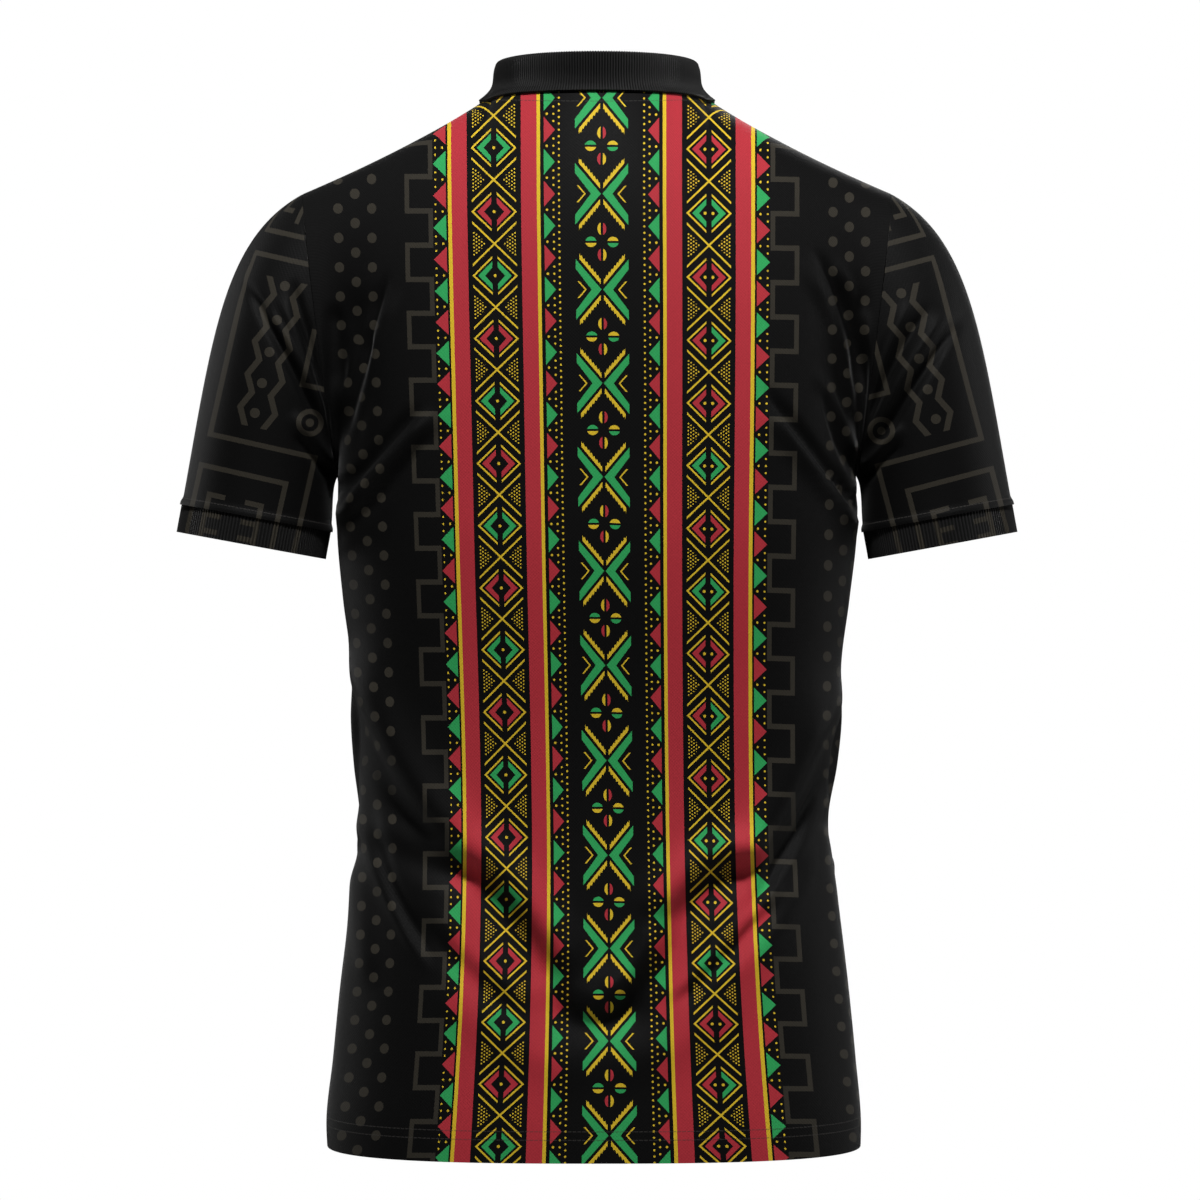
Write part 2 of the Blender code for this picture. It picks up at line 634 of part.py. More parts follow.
def collar_station(face, side, angle, seam, along, patch):
    # One cross-section of the collar, from the neck seam up the neck side, over the fold and
    # down the fall. The neck side and the fall's outer side are the wall's outer surface.
    turned = math.sin(angle)
    depth = FOLD_BACK if face == BACK else FOLD_FRONT
    lowered = 0 if face == BACK else FOLD_FRONT_DROP
    fold = np.array([side * FOLD_HALF_WIDTH * math.cos(angle), face * depth * turned,
                     FOLD_HEIGHT - lowered * turned**NECK_ROUNDING])
    outward = unit([side * math.cos(angle) / FOLD_HALF_WIDTH, face * turned / depth, 0])
    rising = unit(fold - seam)
    foot = stand_foot(seam, along, patch, outward, rising)
    target = collar_edge(face, side, angle, seam, outward)
    lift = RIB_KNIT + COLLAR_LIFT
    edge = rest_on(patch, target, lift)
    turns = np.linspace(0, math.pi, 5)
    arc = [fold + (outward * -math.cos(turn) + rising * math.sin(turn)) * FOLD_RADIUS for turn in turns]
    stand = [foot, (foot + arc[0]) / 2]
    fall = []
    for share in FALL_SHARES:
        place = arc[-1] * (1 - share) + edge * share + outward * FALL_BULGE * share * (1 - share)
        fall.append(clear_of(patch, place, lift))
    return np.array(stand + arc + fall + [edge])


def collar_surface():
    # Stations run from the front's left end round the back to the front's right end.
    runs = []
    for face, side in ((FRONT, LEFT), (BACK, LEFT), (BACK, RIGHT), (FRONT, RIGHT)):
        patch = patch_near_neck(face, side)
        angles, seams = neck_stations(face, side)
        along = np.gradient(seams, axis=0)
        places = zip(angles, seams, along)
        run = [collar_station(face, side, *place, patch) for place in places]
        runs.append(run if (face, side) in ((FRONT, LEFT), (BACK, RIGHT)) else run[::-1])
    left_front, left_back, right_back, right_front = runs
    return np.stack(left_front + left_back[1:] + right_back[1:] + right_front[1:], axis=1)


def collar_node():
    points = collar_surface()
    normals = grid_normals(points)
    crown = normals[FOLD_ROW, points.shape[1] // 2]
    if crown[2] < 0:
        normals = -normals
    return cloth_wall("collar", points, points - normals * RIB_KNIT)


def strip_surface(offset):
    # Patch of the front round its centre line, moved out along its normals.
    distances = (-STRIP_HALF_WIDTH, -NOTCH_HALF_WIDTH, 0.0, NOTCH_HALF_WIDTH, STRIP_HALF_WIDTH)
    steps = np.arange(NOTCH_BOTTOM_ROW, UPPER_ROWS) / UPPER_ROWS
    t = np.concatenate([[STRIP_START], steps, [STRIP_END]])
    columns = [upper_line(FRONT, RIGHT if d < 0 else LEFT, abs(d), abs(d), t) for d in distances]
    points = np.stack(columns, axis=1)
    points[..., 1] -= SEAM_GAP / 2
    normals = grid_normals(points)
    if normals[0, 2, 1] > 0:
        normals = -normals
    return points + normals * offset, normals


def strip_node(name, offset):
    points, normals = strip_surface(offset)
    return cloth_wall(name, points, points - normals * STRIP_CLOTH)


def button_node(name, place):
    line = upper_line(FRONT, LEFT, 0.0, 0.0, place + np.array([-0.01, 0.0, 0.01]))
    upward = unit(line[2] - line[0])
    outward = np.array([0, -upward[2], upward[1]])
    lift = SEAM_GAP * 2 + STRIP_CLOTH
    seat = line[1] + outward * lift - np.array([0, SEAM_GAP / 2, 0])
    work = bmesh.new()
    ends = [work.verts.new((0, 0, 0))]
    for radius, height in BUTTON_PROFILE:
        ends.append(work.verts.new((radius * BUTTON_RADIUS, 0, height * BUTTON_THICKNESS)))
    edges = [work.edges.new(pair) for pair in zip(ends, ends[1:])]
    bmesh.ops.spin(work, geom=ends + edges, axis=(0, 0, 1), cent=(0, 0, 0), steps=BUTTON_SIDES,
                   angle=2 * math.pi, use_merge=True)
    bmesh.ops.remove_doubles(work, verts=work.verts, dist=WELD)
    bmesh.ops.recalc_face_normals(work, faces=work.faces)
    mesh = bpy.data.meshes.new(name)
    work.to_mesh(mesh)
    work.free()
    mesh.shade_smooth()
    mesh.set_sharp_from_angle(angle=math.radians(35))
    button = bpy.data.objects.new(name, mesh)
    axis = Vector(outward)
    button.matrix_world = Matrix.Translation(seat) @ axis.to_track_quat("Z", "Y").to_matrix().to_4x4()
    return button


def material(name, colour, roughness):
    made = bpy.data.materials.new(name)
    made.use_nodes = True
    shader = made.node_tree.nodes["Principled BSDF"]
    shader.inputs["Base Color"].default_value = (*colour, 1.0)
    shader.inputs["Roughness"].default_value = roughness
    shader.inputs["Metallic"].default_value = 0.0
    made.diffuse_color = (*colour, 1.0)
    return made


def main():
    for item in list(bpy.data.objects):
        bpy.data.objects.remove(item)
    collection = bpy.data.collections.new("polo_shirt")
    bpy.context.scene.collection.children.link(collection)

    panels = {face: shaped_panel(face) for face in (BACK, FRONT)}
    cloth = []
    cloth.append(panel_node("back", BACK, *panels[BACK]))
    cloth.append(panel_node("front", FRONT, *panels[FRONT]))
    ribs = []
    for label, side in (("left", LEFT), ("right", RIGHT)):
        sleeve, cuff = sleeve_nodes(label, panels, side)
        cloth.append(sleeve)
        ribs.append(cuff)
    ribs.append(collar_node())
    strips = [strip_node("placket_top", SEAM_GAP + STRIP_CLOTH),
              strip_node("placket_under", -PIQUE - SEAM_GAP * 2)]
    buttons = [button_node(f"button_{number}", place)
               for number, place in enumerate(BUTTON_PLACES, start=1)]

    for item in cloth + strips:
        item.data.materials.append(material(item.name + "_knit", (0.012, 0.012, 0.012), 0.75))
    for item in ribs:
        item.data.materials.append(material(item.name + "_rib", (0.014, 0.014, 0.014), 0.85))
    for item in buttons:
        item.data.materials.append(material(item.name + "_resin", (0.02, 0.02, 0.02), 0.3))
    for item in cloth + ribs + strips + buttons:
        collection.objects.link(item)


main()
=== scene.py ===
# Short-sleeved polo shirt in printed knit, hollow and filled out with nobody in it, seen from
# behind. Metres, +Z up, the front faces -Y and the wearer's left is +X. A drop is a distance
# below the origin, which lies midway between the tops of the shoulder seams.

import json
import math
from collections import namedtuple
from functools import partialmethod

import bmesh
import bpy
import numpy as np
from mathutils import Matrix, Vector

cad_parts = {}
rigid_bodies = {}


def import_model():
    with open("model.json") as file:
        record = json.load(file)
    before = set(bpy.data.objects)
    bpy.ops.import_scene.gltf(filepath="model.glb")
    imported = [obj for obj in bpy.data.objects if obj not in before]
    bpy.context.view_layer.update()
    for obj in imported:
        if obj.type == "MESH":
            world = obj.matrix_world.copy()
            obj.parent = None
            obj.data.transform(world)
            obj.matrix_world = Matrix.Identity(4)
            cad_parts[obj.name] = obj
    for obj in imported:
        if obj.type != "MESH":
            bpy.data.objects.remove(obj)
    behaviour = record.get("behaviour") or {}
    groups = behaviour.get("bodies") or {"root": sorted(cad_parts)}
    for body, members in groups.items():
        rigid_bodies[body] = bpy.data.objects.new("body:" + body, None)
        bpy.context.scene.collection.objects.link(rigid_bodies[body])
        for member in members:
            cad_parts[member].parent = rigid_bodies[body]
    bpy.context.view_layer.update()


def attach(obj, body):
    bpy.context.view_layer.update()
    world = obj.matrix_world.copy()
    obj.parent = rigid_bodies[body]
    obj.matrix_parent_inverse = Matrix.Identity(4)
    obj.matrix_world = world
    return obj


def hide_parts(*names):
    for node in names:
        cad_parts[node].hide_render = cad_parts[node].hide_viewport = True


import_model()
print("stage: frame loaded")

# Camera, straight behind the shirt and level with its middle.
view = {"distance": 2.8, "height": -0.335, "aside": -0.002, "width": 0.804, "sensor": 36.0,
        "nearest": 0.1, "furthest": 50.0}
cameraData = bpy.data.cameras.new("camera")
cameraData.sensor_width = view["sensor"]
cameraData.lens = view["sensor"] * view["distance"] / view["width"]
cameraData.clip_start = view["nearest"]
cameraData.clip_end = view["furthest"]
camera = bpy.data.objects.new("camera", cameraData)
camera.location = (view["aside"], view["distance"], view["height"])
camera.rotation_euler = (math.radians(90), 0, math.radians(180))
bpy.context.scene.collection.objects.link(camera)
bpy.context.scene.camera = camera
bpy.context.scene.view_settings.view_transform = "Standard"


def linear(code):
    # Linear colour of an sRGB hex code.
    parts = [int(code[place:place + 2], 16) / 255 for place in (1, 3, 5)]
    return [part / 12.92 if part <= 0.04045 else ((part + 0.055) / 1.055) ** 2.4 for part in parts] + [1.0]


def addNode(tree, kind, *values, **settings):
    # Adds a node with its settings, and sets or links its inputs in order. Gives its first output.
    made = tree.nodes.new("ShaderNode" + kind)
    inputs = settings.pop("inputs", {})
    for name, value in settings.items():
        setattr(made, name, value)
    for place, value in list(enumerate(values)) + list(inputs.items()):
        if isinstance(value, bpy.types.NodeSocket):
            tree.links.new(value, made.inputs[place])
        elif value is not None:
            made.inputs[place].default_value = value
    return made.outputs[0] if made.outputs else None


class Field:
    # A value in a material. Arithmetic on it adds Math nodes, and a comparison gives 0 or 1.
    def __init__(self, tree, socket):
        self.tree = tree
        self.socket = socket

    def apply(self, operation, *others):
        values = [other.socket if isinstance(other, Field) else other for other in others]
        return Field(self.tree, addNode(self.tree, "Math", self.socket, *values, operation=operation))

    __add__ = partialmethod(apply, "ADD")
    __sub__ = partialmethod(apply, "SUBTRACT")
    __mul__ = partialmethod(apply, "MULTIPLY")
    __and__ = partialmethod(apply, "MULTIPLY")
    __or__ = partialmethod(apply, "MAXIMUM")
    __lt__ = partialmethod(apply, "LESS_THAN")
    __gt__ = partialmethod(apply, "GREATER_THAN")
    __abs__ = partialmethod(apply, "ABSOLUTE")

    def __invert__(self):
        return Field(self.tree, addNode(self.tree, "Math", 1.0, self.socket, operation="SUBTRACT"))

    def near(self, place, reach):
        return self.apply("COMPARE", place, reach)

    def same(self, other):
        # Whether two marks that are 0 or 1 agree.
        return self.near(other, 0.5)

    def within(self, low, high):
        return self.near((low + high) / 2, (high - low) / 2)

    def fromStep(self, step):
        # Signed distance from the nearest multiple of the step.
        return self.apply("WRAP", step / 2, -step / 2)

    def oddStep(self, step):
        # Whether the nearest multiple of the step is an odd one.
        return (self + step / 2).apply("FLOORED_MODULO", 2 * step) > step

    def apart(self, other):
        # Length of the diagonal of two distances.
        return (self * self + other * other).apply("SQRT")


def mapPlaces(tree, name):
    # The two places that a UV map gives to each point.
    split = addNode(tree, "SeparateXYZ", addNode(tree, "UVMap", uv_map=name)).node
    return [Field(tree, split.outputs[axis]) for axis in ("X", "Y")]


def cloudedMaterial(name, finish):
    # Material that drifts between two close colours. Gives it, its shader and its colour.
    made = bpy.data.materials.new(name)
    made.use_nodes = True
    tree = made.node_tree
    shader = tree.nodes["Principled BSDF"]
    place = addNode(tree, "TexCoord").node.outputs["Object"]
    cloud = addNode(tree, "TexNoise", place, inputs={"Scale": 1 / finish["cloud"]})
    colour = addNode(tree, "MixRGB", cloud, linear(finish["dark"]), linear(finish["light"]))
    tree.links.new(colour, shader.inputs["Base Color"])
    shader.inputs["Roughness"].default_value = finish["roughness"]
    return made, shader, colour


# World: white surroundings that the camera sees at full white and that light the shirt faintly.
studio = {"white": "#ffffff", "light": 0.05, "shown": 1.0}
world = bpy.data.worlds.new("studio")
world.use_nodes = True
worldTree = world.node_tree
worldTree.nodes.clear()
white = linear(studio["white"])
faint, full = (addNode(worldTree, "Background", white, studio[name]) for name in ("light", "shown"))
mixed = addNode(worldTree, "MixShader", addNode(worldTree, "LightPath"), faint, full)
addNode(worldTree, "OutputWorld", mixed)
bpy.context.scene.world = world

# Lamps: a soft one above the back of the shirt, a tall one at each side and a broad one in front.
# Powers are in watts and spreads in degrees.
lamps = {
    "overhead": {"place": (-0.05, 1.9, 2.5), "size": (0.45, 0.35), "power": 14.5, "spread": 60},
    "left": {"place": (1.8, -0.8, 0.2), "size": (0.7, 1.6), "power": 7.0, "spread": 120},
    "right": {"place": (-1.9, -0.35, 0.1), "size": (0.7, 1.6), "power": 7.0, "spread": 120},
    "front": {"place": (-0.4, -2.6, 0.8), "size": (1.5, 1.5), "power": 14.0, "spread": 120},
}
aim = Vector((0, 0, -0.33))
for name, lamp in lamps.items():
    data = bpy.data.lights.new("lamp_" + name, "AREA")
    data.shape = "RECTANGLE"
    data.size, data.size_y = lamp["size"]
    data.energy = lamp["power"]
    data.spread = math.radians(lamp["spread"])
    item = bpy.data.objects.new("lamp_" + name, data)
    item.location = lamp["place"]
    item.rotation_euler = (aim - Vector(lamp["place"])).to_track_quat("-Z", "Y").to_euler()
    bpy.context.scene.collection.objects.link(item)

# Floor: a plain pale disc, well below the shirt and outside the main view.
floorSizes = {"radius": 2.3, "thickness": 0.02, "height": -1.35, "corners": 128}
bpy.ops.mesh.primitive_cylinder_add(vertices=floorSizes["corners"], radius=floorSizes["radius"],
                                    depth=floorSizes["thickness"], location=(0, 0, floorSizes["height"]))
floor = bpy.context.object
floor.name = "floor"
floor.data.transform(floor.matrix_world)
floor.matrix_world = Matrix.Identity(4)
# Matt paint. It is shown as pale as the studio round it, but throws no more light on the shirt.
floorFinish = {"dark": "#e6e5e3", "light": "#ecebe9", "cloud": 0.3, "roughness": 0.8, "shown": 0.75}
floorPaint, floorShader, floorColour = cloudedMaterial("floor_paint", floorFinish)
floorTree = floorPaint.node_tree
floorGlow = Field(floorTree, addNode(floorTree, "LightPath")) * floorFinish["shown"]
floorTree.links.new(floorColour, floorShader.inputs["Emission Color"])
floorTree.links.new(floorGlow.socket, floorShader.inputs["Emission Strength"])
floor.data.materials.append(floorPaint)
print("stage: camera, lights and floor")

# Thicknesses and the gaps at seams.
cloth = {"seamGap": 0.0003, "armholeGap": 0.0004, "collarGap": 0.0004, "pique": 0.0013, "turnedHem": 0.0024,
         "rib": 0.0018, "strip": 0.0014}
neck = {"point": (0.069, 0.004), "shoulder": (0.197, -0.063), "sag": (0.115, -0.028), "backDepth": 0.068,
        "backDrop": 0.0065, "frontDepth": 0.074, "frontDrop": 0.070, "rounding": 1.6,
        "cornerReach": 0.035, "cornerSteps": 9, "cornerPower": 8}
body = {"underarm": 0.252, "hem": 0.698, "hemHeight": 0.020, "slopeStep": 0.01}

# Level rings of the body, from underarm to hem. The shift moves a ring towards +X.
BodyRing = namedtuple("BodyRing", "drop halfWidth shift back front squareness")
bodyRings = (
    BodyRing(0.252, 0.1735, 0.0000, 0.107, 0.112, 2.70),
    BodyRing(0.290, 0.1735, 0.0000, 0.106, 0.113, 2.75),
    BodyRing(0.335, 0.1690, 0.0005, 0.102, 0.112, 2.80),
    BodyRing(0.380, 0.1635, 0.0005, 0.096, 0.110, 2.85),
    BodyRing(0.415, 0.1645, 0.0005, 0.092, 0.109, 2.85),
    BodyRing(0.445, 0.1620, 0.0010, 0.090, 0.108, 2.85),
    BodyRing(0.480, 0.1570, 0.0020, 0.090, 0.107, 2.85),
    BodyRing(0.530, 0.1620, 0.0015, 0.094, 0.107, 2.80),
    BodyRing(0.590, 0.1695, 0.0018, 0.101, 0.108, 2.75),
    BodyRing(0.640, 0.1745, 0.0018, 0.106, 0.109, 2.70),
    BodyRing(0.685, 0.1785, 0.0022, 0.109, 0.110, 2.70),
    BodyRing(0.700, 0.1780, 0.0020, 0.109, 0.110, 2.70),
)

# Upper lines of a panel, by how far round from the centre they start (0 centre, 1 side). Each
# leaves the underarm ring by its rise and aside, and its upper handle lies at out and drop.
UpperLine = namedtuple("UpperLine", "round rise aside out drop")
backLines = (
    UpperLine(0.00, 0.105, 0.000, 0.107, 0.060),
    UpperLine(0.15, 0.105, 0.000, 0.105, 0.056),
    UpperLine(0.30, 0.105, 0.000, 0.098, 0.040),
    UpperLine(0.43, 0.105, 0.000, 0.086, 0.026),
    UpperLine(0.60, 0.100, 0.002, 0.075, 0.029),
    UpperLine(0.80, 0.070, 0.014, 0.070, 0.050),
    UpperLine(0.92, 0.035, 0.036, 0.070, 0.065),
    UpperLine(1.00, 0.007, 0.060, 0.070, 0.076),
)
frontLines = (
    UpperLine(0.00, 0.070, 0.000, 0.098, 0.106),
    UpperLine(0.15, 0.070, 0.000, 0.097, 0.100),
    UpperLine(0.32, 0.080, 0.000, 0.094, 0.072),
    UpperLine(0.49, 0.095, 0.000, 0.085, 0.030),
    UpperLine(0.65, 0.095, 0.002, 0.075, 0.031),
    UpperLine(0.82, 0.065, 0.016, 0.070, 0.052),
    UpperLine(0.93, 0.032, 0.038, 0.072, 0.067),
    UpperLine(1.00, 0.006, 0.062, 0.073, 0.078),
)
handleLean = 0.12


def inMetres(kind, *rows):
    # Rows of a table that is written in millimetres.
    return [kind(*(value / 1000 for value in row)) for row in rows]


# Folds, in millimetres, each through three places as seen from behind or from the front: how far
# to the side and the drop. A positive ridge lifts the cloth and a negative one sinks it. A positive
# step lifts it above the line and sinks it below, so that the cloth between faces down.
Fold = namedtuple("Fold", "x0 drop0 x1 drop1 x2 drop2 width ridge step")
backFolds = inMetres(
    Fold,
    (174, 358, 139, 448, 78, 520, 17, 0, 14),
    (104, 494, 54, 542, 10, 608, 15.5, 0, 14.5),
    (34, 588, 0, 612, -40, 590, 13, 0, 9.5),
    (162, 458, 141, 525, 106, 588, 5, 0, -4.8),
    (160, 484, 118, 506, 78, 516, 11, 0, 4),
    (160, 505, 158, 550, 152, 600, 7, 3.2, 0),
    (122, 536, 86, 578, 42, 614, 9, 0, 4.5),
    (112, 584, 58, 632, -10, 654, 14, 3, 0),
    (-172, 384, -132, 474, -100, 524, 16, 0, 11.8),
    (-116, 508, -72, 521, -36, 564, 15, 0, 12.5),
    (-50, 546, -32, 584, 6, 610, 13, 0, 10),
    (-166, 444, -132, 504, -96, 556, 5, 0, -4.8),
    (-152, 480, -124, 550, -60, 606, 9, 2.8, 0),
    (-120, 528, -82, 574, -44, 608, 6, 0, 5),
    (-142, 512, -78, 614, 16, 654, 14, 2.8, 0),
    (137, 112, 160, 168, 177, 238, 3.6, -4, 0),
    (132, 124, 152, 174, 172, 240, 4.5, 3, 0),
    (150, 132, 164, 172, 176, 216, 4, 2.6, 0),
    (108, 206, 140, 244, 178, 286, 5.5, 5.6, 0),
    (116, 202, 148, 236, 180, 272, 4.2, -4.2, 0),
    (102, 214, 132, 250, 170, 292, 5, -3.6, 0),
    (177, 134, 176, 164, 174, 200, 5, -3.6, 0),
    (156, 150, 160, 190, 172, 236, 6, -3, 0),
    (-140, 96, -172, 152, -180, 240, 3.8, -4.2, 0),
    (-132, 104, -164, 160, -174, 236, 5, 3, 0),
    (-154, 104, -176, 140, -186, 180, 5, 3, 0),
    (-108, 188, -148, 237, -182, 286, 4, -4.6, 1),
    (-110, 202, -144, 246, -180, 292, 5.5, 4.6, 0),
    (-144, 178, -164, 212, -178, 246, 4.8, 3.4, 0),
    (-150, 186, -162, 222, -176, 258, 4, -3.4, 0),
    (-179, 124, -177, 160, -178, 200, 4.5, -3, 0),
    (158, 120, 164, 185, 172, 262, 15, -4.5, 0),
    (-162, 110, -168, 180, -176, 258, 15, -4.5, 0),
)
frontFolds = inMetres(
    Fold,
    (180, 296, 138, 248, 96, 210, 8, 4.6, 0),
    (182, 268, 146, 228, 110, 192, 6, 0, 3.6),
    (-180, 288, -142, 244, -102, 204, 8, 4.4, 0),
    (-184, 252, -160, 200, -132, 160, 5.5, 0, -3.4),
    (172, 392, 128, 480, 58, 536, 13, -1.5, 7.6),
    (84, 520, 34, 566, -10, 612, 11, 0, 6),
    (-174, 408, -122, 500, -48, 556, 13, -1.5, 7.4),
    (146, 506, 76, 592, -16, 636, 12, 4.8, 0),
    (-146, 516, -90, 598, 4, 640, 12, 4.4, 0),
    (164, 470, 142, 528, 112, 580, 6, 0, -3.6),
    (-166, 482, -140, 540, -106, 590, 6, 0, -3.6),
)
# Makes a step as high from its crest to its foot as its row says.
stepShape = 1.166

# Grid of the panels, close enough for the creases.
grid = {"curveSteps": 240, "neckColumns": 26, "shoulderColumns": 62, "notchColumns": 5, "hemRows": 5,
        "upperRows": 112, "foldPieces": 12, "foldFade": 0.25, "sideHold": 0.010,
        "seamPoints": 40, "sharpTurn": 50}
# Rows of the body in three runs, each by its last drop and its count, close where the folds are.
rowRuns = ((0.375, 24), (0.630, 108), (0.675, 10))
back, front = 1, -1
left, right = 1, -1


def read(table, key, column, at):
    # Smooth curve through one column of a table.
    keys = np.array([getattr(row, key) for row in table], float)
    values = np.array([getattr(row, column) for row in table], float)
    slopes = np.gradient(values, keys)
    at = np.clip(at, keys[0], keys[-1])
    low = np.clip(np.searchsorted(keys, at) - 1, 0, len(keys) - 2)
    step = keys[low + 1] - keys[low]
    t = (at - keys[low]) / step
    start = values[low] * (2 * t**3 - 3 * t**2 + 1) + slopes[low] * step * (t**3 - 2 * t**2 + t)
    end = values[low + 1] * (3 * t**2 - 2 * t**3) + slopes[low + 1] * step * (t**3 - t**2)
    return start + end


def unit(vectors):
    vectors = np.asarray(vectors, float)
    return vectors / np.linalg.norm(vectors, axis=-1, keepdims=True)


def eased(share):
    share = np.clip(share, 0, 1)
    return share * share * (3 - 2 * share)


def lengthsAlong(points):
    steps = np.linalg.norm(np.diff(points, axis=0), axis=-1)
    return np.concatenate([np.zeros_like(steps[:1]), np.cumsum(steps, axis=0)])


def pointsAt(points, distances):
    along = lengthsAlong(points)
    return np.stack([np.interp(distances, along, points[:, axis]) for axis in range(3)], axis=-1)


def bezier(p0, p1, p2, p3, t):
    t = np.asarray(t, float)[:, None]
    return p0 * (1 - t) ** 3 + 3 * p1 * t * (1 - t) ** 2 + 3 * p2 * t**2 * (1 - t) + p3 * t**3


def halfRing(face, side, drop):
    # Level section of the body, from the centre of the back or front to a side seam.
    angle = np.linspace(0, math.pi / 2, grid["curveSteps"] + 1)
    power = 2 / read(bodyRings, "drop", "squareness", drop)
    depth = read(bodyRings, "drop", "back" if face == back else "front", drop)
    halfWidth = read(bodyRings, "drop", "halfWidth", drop)
    shift = read(bodyRings, "drop", "shift", drop)
    x = shift + side * halfWidth * np.sin(angle) ** power
    x[0] = shift
    y = face * depth * np.clip(np.cos(angle), 0, 1) ** power
    y[-1] = 0.0
    return np.stack([x, y, np.full_like(x, -drop)], axis=1)


def neckSeam(face, side, angle):
    # Angle 0 is the shoulder's end of the neckline and a right angle is its centre.
    depth = neck["backDepth"] if face == back else neck["frontDepth"]
    drop = neck["backDrop"] if face == back else neck["frontDrop"]
    x = side * neck["point"][0] * np.cos(angle)
    y = face * depth * np.sin(angle)
    z = neck["point"][1] - drop * np.sin(angle) ** neck["rounding"]
    return np.stack([x, y, z], axis=-1)


def topLine(face, side):
    # Neckline from the centre to the neck point, then the shoulder seam, and the neckline's length.
    edge = neckSeam(face, side, np.linspace(math.pi / 2, 0, grid["curveSteps"] // 2))
    t = np.linspace(0, 1, grid["curveSteps"] // 4)[1:, None]
    ends = [np.array(neck[name]) for name in ("point", "sag", "shoulder")]
    flat = ends[0] * (1 - t) ** 2 + 2 * ends[1] * t * (1 - t) + ends[2] * t**2
    seam = np.stack([side * flat[:, 0], np.zeros(len(flat)), flat[:, 1]], axis=1)
    return np.concatenate([edge, seam]), lengthsAlong(edge)[-1]


def roundedHead(points, distance):
    # Place on a line with its corners rounded off, as a mean over a stretch of it.
    reach = min(neck["cornerReach"], distance, lengthsAlong(points)[-1] - distance)
    steps = np.linspace(-1, 1, neck["cornerSteps"])[1:-1]
    return np.average(pointsAt(points, distance + reach * steps), axis=0, weights=1 - abs(steps))


def upperLine(face, side, ringDistance, topDistance, t):
    # One line of a panel from the underarm ring up to the neckline or the shoulder seam.
    ring = halfRing(face, side, body["underarm"])
    below = halfRing(face, side, body["underarm"] + body["slopeStep"])
    share = ringDistance / lengthsAlong(ring)[-1]
    table = backLines if face == back else frontLines
    line = {name: read(table, "round", name, share) for name in ("rise", "aside", "out", "drop")}
    foot = pointsAt(ring, ringDistance)
    lower = pointsAt(below, share * lengthsAlong(below)[-1])
    top = topLine(face, side)[0]
    head = pointsAt(top, topDistance)
    rounded = roundedHead(top, topDistance)
    rising = foot + unit(foot - lower) * line["rise"] + np.array([0, face * line["aside"], 0])
    handleX = head[0] + (foot[0] - head[0]) * handleLean
    handle = np.array([handleX, face * line["out"], -line["drop"]])
    curve = bezier(foot, rising, handle, rounded, t)
    return curve + np.outer(np.asarray(t) ** neck["cornerPower"], head - rounded)


# The placket's strips and the notch that they close. Start and end are shares of a panel's upper line.
placket = {"notchHalfWidth": 0.015, "notchShare": 3 / 14, "halfWidth": 0.0175, "start": 0.165, "end": 0.985,
           "columns": 11, "rows": 60}


def columnPlaces(face, side):
    # Distances of a panel's columns from its centre, on the underarm ring and on the top line.
    ringLength = lengthsAlong(halfRing(face, side, body["underarm"]))[-1]
    top, neckLength = topLine(face, side)
    topLength = lengthsAlong(top)[-1]
    start = 0.0 if face == back else placket["notchHalfWidth"]
    edge = np.linspace(start, neckLength, grid["neckColumns"])
    shoulder = np.linspace(neckLength, topLength, grid["shoulderColumns"] + 1)[1:]
    tops = np.concatenate([edge, shoulder])
    rings = start + (tops - start) / (topLength - start) * (ringLength - start)
    if face == front:
        inside = np.linspace(0, start, grid["notchColumns"] + 1)[:-1]
        tops = np.concatenate([inside, tops])
        rings = np.concatenate([inside, rings])
    return rings, tops


def bodyDrops():
    hemTop = body["hem"] - body["hemHeight"]
    turned = np.linspace(body["hem"], hemTop, grid["hemRows"])
    start = body["underarm"]
    plain = [start]
    for end, count in rowRuns:
        plain.extend(np.linspace(start, end, count + 1)[1:])
        start = end
    return np.concatenate([turned, plain[::-1]])


underarmRow = len(bodyDrops()) - 1


def halfPanel(face, side):
    # Rows run from hem to top, columns from the centre to the side.
    rings, tops = columnPlaces(face, side)
    shares = rings / rings[-1]
    rows = []
    for drop in bodyDrops():
        ring = halfRing(face, side, drop)
        rows.append(pointsAt(ring, shares * lengthsAlong(ring)[-1]))
    steps = np.linspace(0, 1, grid["upperRows"] + 1)
    upper = [upperLine(face, side, *place, steps) for place in zip(rings, tops)]
    return np.concatenate([np.array(rows), np.stack(upper, axis=1)[1:]])


def placesAcross(face):
    # Distance of each column round the body from the panel's centre, positive to the left.
    return np.concatenate([columnPlaces(face, left)[0][::-1], -columnPlaces(face, right)[0][1:]])


def panelSurface(face):
    whole = np.concatenate([halfPanel(face, left)[:, ::-1], halfPanel(face, right)[:, 1:]], axis=1)
    whole[..., 1] += face * cloth["seamGap"] / 2
    return whole


def gridNormals(points, wrap=False):
    if wrap:
        across = np.roll(points, -1, axis=1) - np.roll(points, 1, axis=1)
    else:
        across = np.gradient(points, axis=1)
    return unit(np.cross(across, np.gradient(points, axis=0)))


def seamNormals(points, face):
    # A panel's wall ends square to its neighbour's at the side and shoulder seams.
    normals = gridNormals(points) * face
    normals[:underarmRow + 1, [0, -1], 1] = 0.0
    top = np.arange(points.shape[1])
    onShoulder = (top <= grid["shoulderColumns"]) | (top >= points.shape[1] - 1 - grid["shoulderColumns"])
    normals[-1, onShoulder, 1] = 0.0
    return unit(normals)


